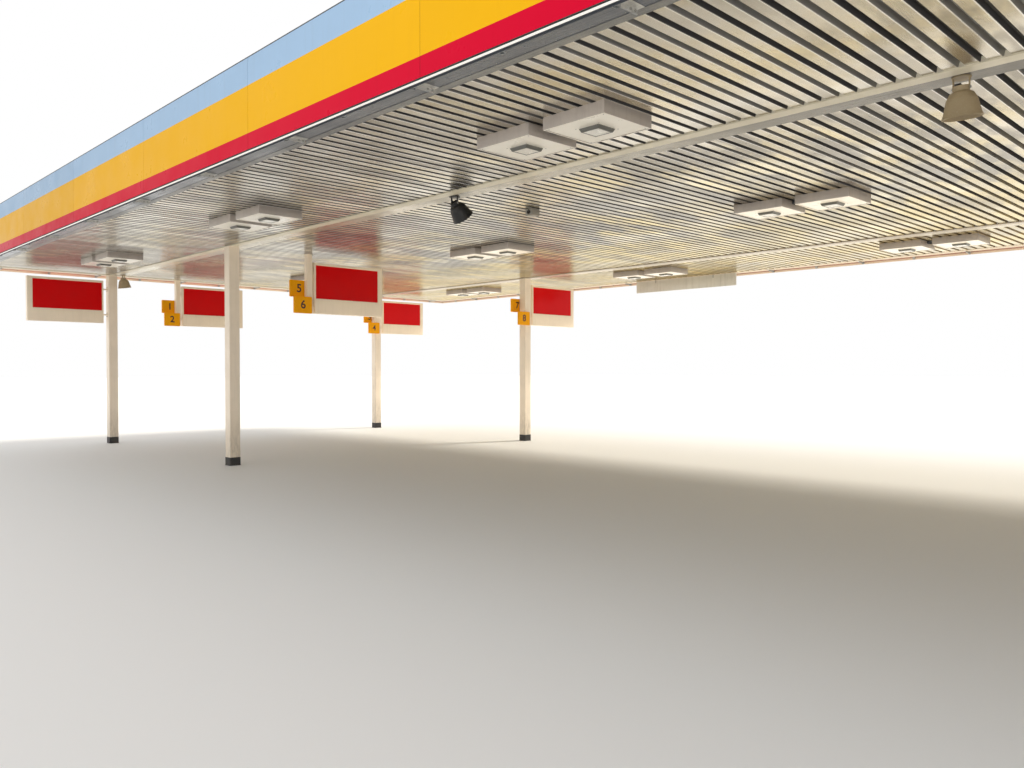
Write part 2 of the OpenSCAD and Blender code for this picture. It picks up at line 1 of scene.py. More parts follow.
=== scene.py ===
"""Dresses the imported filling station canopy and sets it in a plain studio.

The CAD nodes stay where they are and get their finishes here. Light housings, lamp units, signs,
number plates, the rear board and the sensor box are built again with rounded edges, folds and
recesses, in place of their plain nodes. Bolts, rivets, hooks, cleats and rolled rims are added.
"""
import json
import logging
import math
from dataclasses import dataclass, field
from enum import Enum
from functools import reduce
from typing import Iterable, Sequence

import bmesh
import bpy
from mathutils import Matrix, Vector


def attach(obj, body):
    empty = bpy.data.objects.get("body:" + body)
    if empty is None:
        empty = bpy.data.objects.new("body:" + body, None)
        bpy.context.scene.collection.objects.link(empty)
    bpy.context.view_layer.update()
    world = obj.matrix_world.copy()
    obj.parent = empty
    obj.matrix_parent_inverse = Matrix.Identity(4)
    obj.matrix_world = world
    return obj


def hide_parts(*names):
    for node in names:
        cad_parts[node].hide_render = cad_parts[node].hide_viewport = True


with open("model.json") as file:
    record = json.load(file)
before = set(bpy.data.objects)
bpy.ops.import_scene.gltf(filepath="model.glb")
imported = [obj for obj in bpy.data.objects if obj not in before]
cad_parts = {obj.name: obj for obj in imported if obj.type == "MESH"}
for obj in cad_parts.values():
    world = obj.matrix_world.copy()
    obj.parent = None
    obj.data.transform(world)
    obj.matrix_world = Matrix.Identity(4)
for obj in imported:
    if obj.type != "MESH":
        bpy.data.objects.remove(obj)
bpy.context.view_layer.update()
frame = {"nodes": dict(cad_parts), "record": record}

LOG = logging.getLogger("canopy")
Colour = tuple[float, float, float]
Vec3 = tuple[float, float, float]
Span = tuple[float, float]
BMesh = bmesh.types.BMesh
Socket = bpy.types.NodeSocket
BLACK: Colour = (0.0, 0.0, 0.0)
WHITE: Colour = (1.0, 1.0, 1.0)
DOWN: Vec3 = (0.0, 0.0, -1.0)
BOTH = (-1, 1)
QUARTER = math.pi / 2


class Axis(Enum):
    """The direction that a part or a grain runs in."""

    X = 0
    Y = 1
    Z = 2


@dataclass(frozen=True)
class Plan:
    """The canopy's main places, in metres, as the CAD model has them."""

    bay: float = 6.08
    inner_line: float = 9.12
    end_line: float = 15.49
    half_l: float = 15.94
    half_w: float = 6.68
    front_row: float = -3.83
    rear_row: float = 3.73
    hanger_row: float = -2.265
    soffit: float = 4.0
    first_joint: float = 0.16
    beam_z: float = 3.988
    beam_half: float = 0.07
    column_w: float = 0.2
    hanger_w: float = 0.11

    @property
    def column_lines(self) -> tuple[float, ...]:
        """X of the four column lines, from the left."""
        return (-self.end_line, -self.inner_line, self.inner_line, self.end_line)

    @property
    def light_lines(self) -> tuple[float, ...]:
        """X of the five light groups in a row."""
        return tuple(step * self.bay for step in (-2, -1, 0, 1, 2))


PLAN = Plan()


# Materials


def feed(socket: Socket, value: object) -> None:
    """Links a node's input to an output, or sets it.

    Args:
        socket: The input.
        value: An output, a number, a vector or a colour without alpha.
    """
    if isinstance(value, Socket):
        socket.id_data.links.new(value, socket)
    elif socket.type == "RGBA":
        socket.default_value = (*value, 1.0)
    else:
        socket.default_value = value


def add_node(tree: bpy.types.NodeTree, kind: str, *inputs: object, **named: object) -> bpy.types.Node:
    """Adds a shader node and feeds its inputs.

    Args:
        tree: Where it goes.
        kind: Its type, without the ShaderNode in front.
        inputs: What its first inputs get, in order.
        named: What inputs get by name, with _ for a space.

    Returns:
        The new node.
    """
    node = tree.nodes.new(f"ShaderNode{kind}")
    for socket, value in zip(node.inputs, inputs):
        feed(socket, value)
    for name, value in named.items():
        feed(node.inputs[name.replace("_", " ")], value)
    return node


class Graph:
    """A material's node tree, with short ways to add its usual nodes."""

    def __init__(self, name: str) -> None:
        """Starts an empty material of that name with a shader and an output."""
        self.material = bpy.data.materials.new(name)
        self.material.use_nodes = True
        self.tree = self.material.node_tree
        self.tree.nodes.clear()
        self.shader = self.node("BsdfPrincipled")
        self.node("OutputMaterial", self.shader.outputs["BSDF"])
        self.place = self.node("TexCoord").outputs["Object"]

    def node(self, kind: str, *inputs: object, **named: object) -> bpy.types.Node:
        """Adds a node to this tree, as add_node does."""
        return add_node(self.tree, kind, *inputs, **named)

    def axis(self, axis: Axis) -> Socket:
        """One of the object's coordinates in metres."""
        return self.node("SeparateXYZ", self.place).outputs[axis.value]

    def facing(self, axis: Axis) -> Socket:
        """How far a face looks along an axis, from -1 to 1."""
        normal = self.node("NewGeometry").outputs["True Normal"]
        return self.node("SeparateXYZ", normal).outputs[axis.value]

    def behind(self) -> Socket:
        """How far a point lies behind the canopy's outer faces, in metres."""
        return self.math("MINIMUM", *(self.minus(half, self.math("ABSOLUTE", self.axis(axis)))
                                      for half, axis in ((PLAN.half_l, Axis.X), (PLAN.half_w, Axis.Y))))

    def noise(self, scale: float, detail: float, rough: float, where: Socket | Vec3 | None = None) -> Socket:
        """Cloudy noise.

        Args:
            scale: How fine it is.
            detail: How many finer layers it has.
            rough: How strong the finer layers are.
            where: The coordinates that it reads, or a stretch of the object's own on each axis.

        Returns:
            The noise's grey socket.
        """
        if isinstance(where, tuple):
            where = self.node("Mapping", self.place, Scale=where).outputs["Vector"]
        vector = self.place if where is None else where
        return self.node("TexNoise", vector, Scale=scale, Detail=detail, Roughness=rough).outputs["Fac"]

    def cells(self, scale: float) -> Socket:
        """Random tones in cells, as on galvanised spangle."""
        colour = self.node("TexVoronoi", self.place, Scale=scale).outputs["Color"]
        return self.node("RGBToBW", colour).outputs[0]

    def math(self, kind: str, first: object, second: object = 0.0) -> Socket:
        """A Math node's result.

        Args:
            kind: Its operation.
            first: Its first value.
            second: Its second value.

        Returns:
            The result's socket.
        """
        node = self.node("Math", first, second)
        node.operation = kind
        return node.outputs[0]

    def times(self, first: object, second: object) -> Socket:
        """Two values multiplied."""
        return self.math("MULTIPLY", first, second)

    def plus(self, first: object, second: object) -> Socket:
        """Two values added."""
        return self.math("ADD", first, second)

    def minus(self, first: object, second: object) -> Socket:
        """The first value less the second."""
        return self.math("SUBTRACT", first, second)

    def span(self, value: Socket, low: float, high: float, to_low: float, to_high: float) -> Socket:
        """A value mapped from the range low to high to another range, and clamped there."""
        return self.node("MapRange", value, low, high, to_low, to_high).outputs["Result"]

    def tone(self, *steps: Socket) -> Socket:
        """One random number for each whole step of the values given.

        Args:
            steps: The values.

        Returns:
            The number's socket, from 0 to 1.
        """
        parts = (self.times(self.math("FLOOR", step), weight * 1.37) for weight, step in enumerate(steps, 1))
        node = self.node("TexWhiteNoise")
        node.noise_dimensions = "1D"
        feed(node.inputs["W"], reduce(self.plus, parts))
        return node.outputs["Value"]

    def mix(self, share: object, first: object, second: object) -> Socket:
        """Mixes two colours.

        Args:
            share: How much of the second there is.
            first: A colour or a socket.
            second: A colour or a socket.

        Returns:
            The mixed colour's socket.
        """
        node = self.node("Mix", share)
        node.data_type = "RGBA"
        for socket, value in zip(node.inputs[6:8], (first, second)):
            feed(socket, value)
        return node.outputs[2]

    def stain(self, colour: object, cause: Socket, low: float, high: float, most: float, tint: object) -> Socket:
        """Mixes a tint into a colour, from none where the cause is low to the most where it is high."""
        return self.mix(self.span(cause, low, high, 0.0, most), colour, tint)

    def bump(self, height: Socket, depth: float, strength: float = 1.0) -> None:
        """Adds a bump to the shader's normal, after any that is there.

        Args:
            height: The height's socket, from 0 to 1.
            depth: What a height of 1 is in metres.
            strength: How much of it shows.
        """
        node = self.node("Bump", Strength=strength, Distance=depth, Height=height)
        normal = self.shader.inputs["Normal"]
        if normal.is_linked:
            feed(node.inputs["Normal"], normal.links[0].from_socket)
        feed(normal, node.outputs["Normal"])

    def surface(self, **values: object) -> bpy.types.Material:
        """Feeds the shader.

        Args:
            values: What its sockets get by name, with _ for a space.

        Returns:
            The finished material.
        """
        for name, value in values.items():
            feed(self.shader.inputs[name.replace("_", " ")], value)
        return self.material


@dataclass(frozen=True)
class Paint:
    """Sprayed or powder-coated metal with a thin film of grime.

    Attributes:
        name: The material's name.
        colour: The clean paint.
        rough: Its roughness.
        grime: How much dirt lies on it.
        dirt: The dirt's colour.
        coat: Share of clear gloss on top.
        foot_grime: Height of the dirtier zone above the ground, or 0.
        panel: Length of one panel, where each has its own tone, or 0. With panels the canopy's left part also takes
            a painted shade, and its far left a painted sky reflection.
        streaks: How strong the rain streaks are.
        gloss: The shader's specular level.
        inside: Colours of what lies behind the front fascia's face and behind the others' faces, or None. On the
            white lip the front one is a dark painted shade.
    """

    name: str
    colour: Colour
    rough: float = 0.4
    grime: float = 0.25
    dirt: Colour = (0.23, 0.2, 0.16)
    coat: float = 0.15
    foot_grime: float = 0.0
    panel: float = 0.0
    streaks: float = 0.0
    gloss: float = 0.5
    inside: tuple[Colour, Colour] | None = None

    def build(self) -> bpy.types.Material:
        """Makes the material.

        Returns:
            The new material.
        """
        graph = Graph(self.name)
        clouds = graph.noise(2.6, 6.0, 0.6)
        colour = graph.stain(self.colour, clouds, 0.35, 0.7, 0.55 * self.grime, self.dirt)
        colour = graph.stain(colour, graph.noise(90.0, 3.0, 0.7), 0.62, 0.78, 0.8 * self.grime, self.dirt)
        if self.streaks:
            runs = graph.noise(2.0, 5.0, 0.65, (9.0, 9.0, 0.55))
            colour = graph.stain(colour, runs, 0.52, 0.75, self.streaks, self.dirt)
        if self.foot_grime:
            low = graph.span(graph.axis(Axis.Z), 0.0, self.foot_grime, 0.75, 0.0)
            patch = graph.span(graph.noise(3.0, 6.0, 0.7, (6.0, 6.0, 1.6)), 0.3, 0.7, 0.1, 1.0)
            colour = graph.mix(graph.times(low, patch), colour, self.dirt)
        if self.panel:
            colour = self.panelled(graph, colour)
        if self.inside:
            colour = self.lined(graph, colour)
        graph.bump(graph.noise(260.0, 2.0, 0.5), 0.0002, 0.35)
        rough = graph.span(clouds, 0.3, 0.75, max(self.rough - 0.06, 0.05), self.rough + 0.16)
        return graph.surface(Base_Color=colour, Roughness=rough, Coat_Weight=self.coat, Coat_Roughness=0.12,
                             Specular_IOR_Level=self.gloss)

    def panelled(self, graph: Graph, colour: Socket) -> Socket:
        """Gives each panel its tone and slight waves, and darkens and pales the canopy's left part: the darkening is
        a painted shade and the paling a painted sky reflection.

        Args:
            graph: The material so far.
            colour: Its colour so far.

        Returns:
            The new colour's socket.
        """
        along = graph.axis(Axis.X)
        length = graph.math("DIVIDE", graph.minus(along, PLAN.first_joint), self.panel)
        width = graph.math("DIVIDE", graph.axis(Axis.Y), self.panel)
        colour = graph.stain(colour, graph.tone(length, width), 0.0, 1.0, 0.06, BLACK)
        # Painted shade: darker towards the canopy's left part.
        colour = graph.mix(graph.span(along, -9.0, 1.0, 0.2, 0.0), colour, BLACK)
        # Painted reflection: paler and bluer at the far left, as sky in the gloss.
        colour = graph.mix(graph.span(along, -16.0, -9.0, 0.08, 0.0), colour, (0.5, 0.56, 0.6))
        graph.bump(graph.noise(1.6, 2.0, 0.4, (0.8, 0.8, 1.1)), 0.004, 0.35)
        return colour

    def lined(self, graph: Graph, colour: Socket) -> Socket:
        """Colours what lies behind the fascia's outer faces, apart at the front. On the white lip the front colour
        is a dark painted shade.
        """
        front, others = self.inside
        back = graph.stain(front, graph.axis(Axis.Y), 0.1 - PLAN.half_w, 0.2 - PLAN.half_w, 1.0, others)
        return graph.stain(colour, graph.behind(), 0.003, 0.0039, 1.0, back)


@dataclass(frozen=True)
class SheetMetal:
    """Zinc-coated sheet or section: spangle, rolling streaks, a tone of its own for each sheet.

    Attributes:
        name: The material's name.
        colour: The bright metal.
        dull: The same metal where it is weathered, and the dark end of the painted reflection along X.
        rough: Its roughness.
        grain: The direction in which it was rolled.
        sheet: Width of one sheet across the grain, or 0.
        spangle: How many spangle cells there are in a metre.
        stain: How strong the weather stains are.
        wave: Height in metres of the slight waves in flat sheet.
        reflection_fade: Where along X it turns from bright to dull, a painted reflection, or None.
    """

    name: str
    colour: Colour
    dull: Colour
    rough: float = 0.35
    grain: Axis = Axis.Y
    sheet: float = 0.0
    spangle: float = 90.0
    stain: float = 0.3
    wave: float = 0.0
    reflection_fade: Span | None = None

    def stretch(self, across: float, along: float) -> Vec3:
        """A stretch along the grain, and another on both axes across it."""
        return tuple(along if axis is self.grain else across for axis in Axis)

    def build(self) -> bpy.types.Material:
        """Makes the material.

        Returns:
            The new material.
        """
        graph = Graph(self.name)
        streak = graph.noise(5.0, 5.0, 0.65, self.stretch(26.0, 0.35))
        clouds = graph.noise(1.3, 7.0, 0.62)
        colour = graph.stain(self.colour, streak, 0.35, 0.7, 0.45, self.dull)
        colour = graph.stain(colour, graph.cells(self.spangle), 0.2, 0.8, 0.22, self.dull)
        colour = graph.stain(colour, clouds, 0.45, 0.72, self.stain, self.dull)
        colour = graph.stain(colour, graph.noise(7.0, 6.0, 0.7), 0.62, 0.78, self.stain, (0.33, 0.29, 0.22))
        rough = graph.span(streak, 0.3, 0.7, self.rough - 0.07, self.rough + 0.1)
        rough = graph.plus(rough, graph.span(clouds, 0.4, 0.75, 0.0, 0.14))
        if self.sheet:
            cross = Axis.X if self.grain is Axis.Y else Axis.Y
            tone = graph.tone(graph.math("DIVIDE", graph.axis(cross), self.sheet))
            colour = graph.stain(colour, tone, 0.0, 1.0, 0.3, self.dull)
            rough = graph.plus(rough, graph.span(tone, 0.0, 1.0, -0.03, 0.05))
        if self.reflection_fade:
            # Painted reflection: bright at one end along X and dull at the other.
            colour = graph.stain(colour, graph.axis(Axis.X), *self.reflection_fade, 0.9, self.dull)
        if self.wave:
            graph.bump(graph.noise(1.5, 2.0, 0.4, self.stretch(1.6, 0.7)), self.wave, 0.6)
        graph.bump(streak, 0.0003, 0.3)
        return graph.surface(Base_Color=colour, Roughness=rough, Metallic=0.88)


@dataclass(frozen=True)
class RibbedDeck:
    """Bright zinc-aluminium decking whose pans each lie and weather a little differently. Its colour also carries
    painted reflections, a painted highlight along the pans' edges and painted shade in the ribs.

    Attributes:
        name: The material's name.
        crest: The bright pans.
        warm: The warm patches on them, a painted reflection.
        dull: The same sheet where it is weathered, and the dark of the painted reflections.
        groove: The dirt and painted shade in the front ribs.
        groove_rear: The dirt and painted shade in the rear ribs.
        roof: The sheet's upper side.
        pitch: Distance between two ribs.
        rough: Its roughness.
        tilt: How far a pan may lean, as a slope.
        wave: Height in metres of the waves along a pan.
        dull_from: Where along Y the sheets' dulling towards the front edge starts and ends.
        dull_shares: How much of the dull colour they take at those two places.
    """

    name: str
    crest: Colour
    warm: Colour
    dull: Colour
    groove: Colour
    groove_rear: Colour
    roof: Colour
    pitch: float = 0.152
    rough: float = 0.2
    tilt: float = 0.02
    wave: float = 0.004
    dull_from: Span = (-6.4, -2.0)
    dull_shares: Span = (0.15, 0.0)

    def weather_and_reflection(self, graph: Graph, along: Socket, across: Socket) -> Socket:
        """How strongly the dark patches show, partly weathering and partly painted reflection: least in the near
        bay, and less to the rear and the left.

        Args:
            graph: The material so far.
            along: The coordinate along a pan.
            across: The coordinate across the pans.

        Returns:
            The strength's socket.
        """
        apart = graph.math("ABSOLUTE", graph.minus(across, 1.2))
        strength = graph.math("MAXIMUM", graph.span(apart, 0.8, 3.2, 0.25, 1.15),
                              graph.span(along, -4.6, -3.6, 0.0, 1.1))
        strength = graph.minus(strength, graph.span(along, 0.0, 2.5, 0.0, 0.65))
        return graph.times(strength, graph.span(across, -14.0, -8.0, 0.6, 1.0))

    def build(self) -> bpy.types.Material:
        """Makes the material.

        Returns:
            The new material.
        """
        graph = Graph(self.name)
        across, along, depth = (graph.axis(axis) for axis in Axis)
        turns = graph.plus(graph.math("DIVIDE", across, self.pitch), 0.5)
        pan = graph.math("FLOOR", turns)
        share = graph.minus(graph.minus(turns, pan), 0.5)
        random = graph.tone(turns)
        row = graph.node("CombineXYZ", graph.times(pan, 3.7), graph.times(along, 0.55)).outputs[0]
        drift = graph.noise(1.0, 2.0, 0.5, row)
        wide = graph.noise(1.0, 2.0, 0.5, (0.3, 0.42, 1.0))
        patches = graph.noise(1.0, 5.0, 0.6, (0.5, 0.9, 1.0))
        streak = graph.noise(5.0, 5.0, 0.65, (26.0, 0.35, 26.0))
        clouds = graph.noise(1.0, 4.0, 0.55, (2.4, 0.8, 1.0))
        spangle = graph.cells(140.0)
        rear = graph.span(along, -4.5, 1.5, 0.0, 1.0)
        weather_and_reflection = self.weather_and_reflection(graph, along, across)
        # Painted reflection: warm patches, and warmer towards the rear.
        warmth = graph.plus(graph.span(patches, 0.4, 0.65, 0.0, 0.7), graph.times(rear, 0.7))
        colour = graph.mix(warmth, self.crest, self.warm)
        colour = graph.stain(colour, streak, 0.4, 0.7, 0.05, self.dull)
        colour = graph.stain(colour, spangle, 0.2, 0.8, 0.12, self.dull)
        # Dark patches, per pan and in clouds: partly weathering, partly painted reflection.
        colour = graph.mix(graph.times(random, graph.times(weather_and_reflection, 0.4)), colour, self.dull)
        for cloud, low, high, most in ((drift, 0.42, 0.66, 0.45), (wide, 0.45, 0.65, 0.4),
                                       (clouds, 0.45, 0.57, 0.85)):
            colour = graph.mix(graph.times(graph.span(cloud, low, high, 0.0, most), weather_and_reflection), colour, self.dull)
        # Duller towards the front edge.
        colour = graph.mix(graph.span(along, *self.dull_from, *self.dull_shares), colour, self.dull)
        # Painted highlight: a bright line along one edge of each pan, beside its rib, fading to the rear.
        edge = graph.times(graph.span(share, 0.23, 0.27, 0.0, 0.8), graph.minus(1.0, rear))
        colour = graph.mix(edge, colour, (1.0, 1.0, 0.98))
        # Painted shade and dirt darken the ribs, less on the plain ribs towards the right; the lap ribs' crests are
        # a near-black painted shade.
        rib = graph.math("FLOOR", graph.math("DIVIDE", across, self.pitch))
        plain = graph.math("MODULO", graph.plus(rib, 1001.0), 2.0)
        clean = graph.times(graph.span(across, -3.0, 4.5, 0.0, 1.0), graph.span(plain, 0.0, 1.0, 0.08, 0.45))
        shade = graph.times(graph.span(depth, 4.0004, 4.005, 0.0, 1.0), graph.minus(0.97, clean))
        deep = graph.times(graph.span(depth, 4.03, 4.045, 0.0, 1.0), graph.minus(1.0, plain))
        groove = graph.stain(self.groove, along, 1.5, 5.0, 1.0, self.groove_rear)
        colour = graph.mix(shade, colour, graph.mix(deep, groove, (0.006, 0.006, 0.007)))
        weathered = graph.stain(self.roof, patches, 0.4, 0.7, 0.55, self.dull)
        colour = graph.stain(colour, graph.facing(Axis.Z), 0.0, 0.05, 1.0, weathered)
        rough = graph.plus(graph.span(streak, 0.3, 0.7, self.rough - 0.02, self.rough + 0.02),
                           graph.span(patches, 0.3, 0.75, 0.0, 0.12))
        rough = graph.plus(rough, graph.times(shade, 0.35))
        graph.bump(graph.times(share, graph.times(graph.minus(random, 0.5), 2.0 * self.tilt * self.pitch)), 1.0)
        graph.bump(drift, self.wave)
        graph.bump(spangle, 0.00004, 0.3)
        return graph.surface(Base_Color=colour, Roughness=rough, Metallic=graph.span(shade, 0.0, 1.0, 0.92, 0.35))


@dataclass(frozen=True)
class Plastic:
    """Moulded, cast or acrylic sheet plastic.

    Attributes:
        name: The material's name.
        colour: The clean plastic.
        rough: Its roughness.
        coat: Share of clear gloss on top.
        dust: How much pale dust lies on it.
        mottle: How strongly its tone varies.
        ribs: Prism ribs in a metre, as on a lens, or 0.
        gloss: The shader's specular level.
    """

    name: str
    colour: Colour
    rough: float = 0.3
    coat: float = 0.0
    dust: float = 0.12
    mottle: float = 0.15
    ribs: float = 0.0
    gloss: float = 0.5

    def build(self) -> bpy.types.Material:
        """Makes the material.

        Returns:
            The new material.
        """
        graph = Graph(self.name)
        clouds = graph.noise(3.2, 6.0, 0.6)
        fine = graph.noise(120.0, 4.0, 0.7)
        deep = tuple(part * 0.62 for part in self.colour)
        colour = graph.stain(self.colour, clouds, 0.35, 0.7, self.mottle, deep)
        colour = graph.stain(colour, fine, 0.55, 0.8, self.dust, (0.6, 0.57, 0.52))
        if self.ribs:
            for axis in (Axis.X, Axis.Y):
                graph.bump(graph.math("SINE", graph.times(graph.axis(axis), self.ribs * math.tau)), 0.0008, 0.6)
        graph.bump(fine, 0.0002, 0.4)
        rough = graph.span(clouds, 0.3, 0.75, max(self.rough - 0.05, 0.04), self.rough + 0.12)
        return graph.surface(Base_Color=colour, Roughness=rough, Coat_Weight=self.coat, Coat_Roughness=0.08,
                             Specular_IOR_Level=self.gloss)


Finish = Paint | SheetMetal | RibbedDeck | Plastic
FINISHES: tuple[Finish, ...] = (
    Paint("column_paint", (0.97, 0.85, 0.7), 0.38, 0.16, foot_grime=0.9, streaks=0.1),
    Paint("foot_black", (0.018, 0.018, 0.02), 0.5, 0.5, (0.16, 0.14, 0.12), 0.05),
    Paint("beam_cream", (0.74, 0.68, 0.53), 0.42, 0.3),
    SheetMetal("galvanised", (0.62, 0.64, 0.66), (0.36, 0.37, 0.38), 0.42, Axis.X, spangle=70.0),
    RibbedDeck("deck_metal", (1.0, 0.97, 0.9), (1.0, 0.81, 0.36), (0.27, 0.24, 0.19), (0.032, 0.03, 0.038),
               (0.24, 0.16, 0.08), (0.6, 0.62, 0.64)),
    SheetMetal("flashing_metal", (0.3, 0.32, 0.36), (0.1, 0.11, 0.13), 0.27, Axis.X, 2.4, 120.0, 0.4, 0.004),
    # Painted shade: the top band is white, and this pale blue is that white in shade under a blue sky.
    Paint("fascia_white", (0.345, 0.52, 0.75), 0.3, 0.08, coat=0.0, panel=2.85, streaks=0.08, gloss=0.15),
    Paint("fascia_yellow", (0.87, 0.465, 0.003), 0.3, 0.05, (0.5, 0.22, 0.01), 0.0, 0.0, 2.85, 0.05, 0.06),
    Paint("fascia_red", (0.67, 0.001, 0.03), 0.3, 0.05, (0.25, 0.01, 0.015), 0.0, 0.0, 2.85, 0.05, 0.05,
          ((0.3, 0.3, 0.3), (0.75, 0.42, 0.36))),
    Paint("cap_grey", (0.05, 0.055, 0.065), 0.5, 0.3, (0.2, 0.19, 0.17), 0.0, gloss=0.2),
    Paint("shadow_black", (0.012, 0.012, 0.013), 0.6, 0.2, (0.1, 0.09, 0.08), 0.0),
    # Painted shade: the lip's dark first inside colour darkens its faces behind the front face.
    Paint("lip_white", (0.9, 0.89, 0.86), 0.3, 0.15, inside=((0.09, 0.1, 0.12), (0.85, 0.68, 0.52))),
    Paint("light_housing", (1.0, 0.95, 0.84), 0.3, 0.15, (0.38, 0.32, 0.24)),
    Plastic("lamp_lens", (0.87, 0.85, 0.77), 0.22, 0.4, 0.1, 0.08, 85.0),
    Paint("sign_white", (1.0, 0.86, 0.68), 0.32, 0.12, streaks=0.08),
    Plastic("sign_red", (0.72, 0.002, 0.004), 0.16, 0.0, 0.02, 0.15, gloss=0.12),
    Plastic("plate_orange", (1.0, 0.43, 0.003), 0.3, 0.0, 0.04, 0.12, gloss=0.1),
    Plastic("lamp_beige", (0.42, 0.33, 0.2), 0.5, 0.0, 0.35, 0.45),
    Plastic("lamp_black", (0.012, 0.012, 0.013), 0.42, 0.0, 0.08, 0.2),
    Plastic("sensor_grey", (0.33, 0.31, 0.27), 0.45, 0.0, 0.25, 0.25),
    Paint("board_white", (0.78, 0.765, 0.71), 0.45, 0.3, streaks=0.25),
    Plastic("number_dark", (0.06, 0.012, 0.006), 0.35, 0.2, 0.1, 0.15),
    SheetMetal("bolt_zinc", (0.6, 0.6, 0.58), (0.3, 0.3, 0.28), 0.34, Axis.Z, spangle=300.0),
    Plastic("dark_glass", (0.01, 0.01, 0.014), 0.08, 0.6, 0.05, 0.1),
    Plastic("gasket_black", (0.012, 0.012, 0.013), 0.6, 0.0, 0.05, 0.2),
    # Painted reflection: the front gutter is bright to the left and dull to the right.
    SheetMetal("gutter_metal", (0.8, 0.73, 0.58), (0.12, 0.11, 0.095), 0.26, Axis.X, 3.04, 120.0, 0.35, 0.003,
               (-5.0, 2.5)),
    SheetMetal("gutter_pale", (0.95, 0.86, 0.68), (0.5, 0.45, 0.36), 0.26, Axis.X, 3.04, 120.0, 0.35, 0.003),
    # Painted shade: a darker, browner copy of the housing paint for the housings' upright faces, with some dirt.
    Paint("housing_side", (0.5, 0.45, 0.41), 0.35, 0.3, (0.2, 0.16, 0.15), streaks=0.2),
    # A darker copy of the cream beam paint, given to the rear main beam.
    Paint("beam_worn", (0.42, 0.36, 0.28), 0.4, 0.35),
    Paint("flashing_cream", (0.86, 0.74, 0.58), 0.35, 0.2, gloss=0.4),
    SheetMetal("channel_metal", (0.5, 0.49, 0.46), (0.12, 0.13, 0.15), 0.27, Axis.X, 1.52, 120.0, 0.6, 0.004),
    Plastic("lamp_body", (0.14, 0.14, 0.125), 0.4, 0.0, 0.1, 0.2),
    SheetMetal("cleat_zinc", (0.85, 0.85, 0.83), (0.5, 0.5, 0.48), 0.3, Axis.X, spangle=200.0),
)
# The rear gutter, the rear edge channel and the rear and end flashings get paler copies of the front ones' darker
# metals; these paler copies are painted light. The rear main beam gets a darker copy of the cream beam paint.
NODE_FINISHES: dict[str, str] = {
    "gutter_front": "gutter_metal", "gutter_rear": "gutter_pale", "main_beam_rear": "beam_worn",
    "edge_channel_front": "channel_metal", "edge_channel_rear": "flashing_cream", "flashing_rear": "flashing_cream",
    "flashing_left": "flashing_cream", "flashing_right": "flashing_cream",
}


class Workshop:
    """Holds the materials and turns bmeshes into finished pieces."""

    def __init__(self) -> None:
        """Builds every material once."""
        self.materials = {finish.name: finish.build() for finish in FINISHES}

    def dress_nodes(self) -> None:
        """Gives each CAD node the material of its slot in the record, or the one that NODE_FINISHES names for it."""
        for part in frame["record"]["subparts"]:
            node = frame["nodes"][part["node"]]
            node.data.materials.clear()
            finish = NODE_FINISHES.get(part["node"], part["material_slot"])
            node.data.materials.append(self.materials[finish])
            LOG.info("node %s: %s", part["node"], finish)

    def piece(self, name: str, bm: BMesh, finish: str, replaces: Sequence[str] = (),
              smooth: float = 35.0, sides: str = "") -> None:
        """Turns a bmesh into an object that rides with the canopy.

        Args:
            name: The object's name.
            bm: Its mesh, in the CAD frame. It is freed here.
            finish: The material's name.
            replaces: CAD nodes that it stands for.
            smooth: Edges flatter than this angle in degrees shade smooth.
            sides: The material's name for faces that stand upright, where it is another. On the light housings it is
                a painted shade.
        """
        bmesh.ops.recalc_face_normals(bm, faces=bm.faces[:])
        mesh = bpy.data.meshes.new(name)
        bm.to_mesh(mesh)
        bm.free()
        mesh.materials.append(self.materials[finish])
        if sides:
            mesh.materials.append(self.materials[sides])
            for face in mesh.polygons:
                face.material_index = int(abs(face.normal.z) < 0.5)
        mesh.shade_smooth()
        mesh.set_sharp_from_angle(angle=math.radians(smooth))
        obj = bpy.data.objects.new(name, mesh)
        bpy.context.scene.collection.objects.link(obj)
        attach(obj, "root")
        if replaces:
            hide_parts(*replaces)
        LOG.info("piece %s: %d faces, %s", name, len(mesh.polygons), finish)


# Mesh helpers


def at(x: float, y: float, z: float) -> Matrix:
    """Moves to a place."""
    return Matrix.Translation((x, y, z))


def turned(angle: float, axis: Axis = Axis.Z) -> Matrix:
    """Turns by an angle in radians."""
    return Matrix.Rotation(angle, 4, axis.name)


def rounded(bm: BMesh, edges: Iterable[bmesh.types.BMEdge], width: float, segments: int) -> None:
    """Rounds edges to a width, with so many faces across."""
    bmesh.ops.bevel(bm, geom=list(edges), offset=width, offset_type="OFFSET", segments=segments, profile=0.5,
                    affect="EDGES", material=-1)


def block(size: Vec3, centre: Vec3 = (0.0, 0.0, 0.0), bevel: float = 0.0, segments: int = 1) -> BMesh:
    """A box with rounded edges.

    Args:
        size: Its size on each axis.
        centre: Its middle.
        bevel: How wide the rounding of its edges is.
        segments: Faces across that rounding.

    Returns:
        A new bmesh.
    """
    bm = bmesh.new()
    bmesh.ops.create_cube(bm, size=1.0)
    bmesh.ops.scale(bm, vec=size, verts=bm.verts)
    if bevel:
        rounded(bm, bm.edges, bevel, segments)
    bmesh.ops.translate(bm, vec=centre, verts=bm.verts)
    return bm


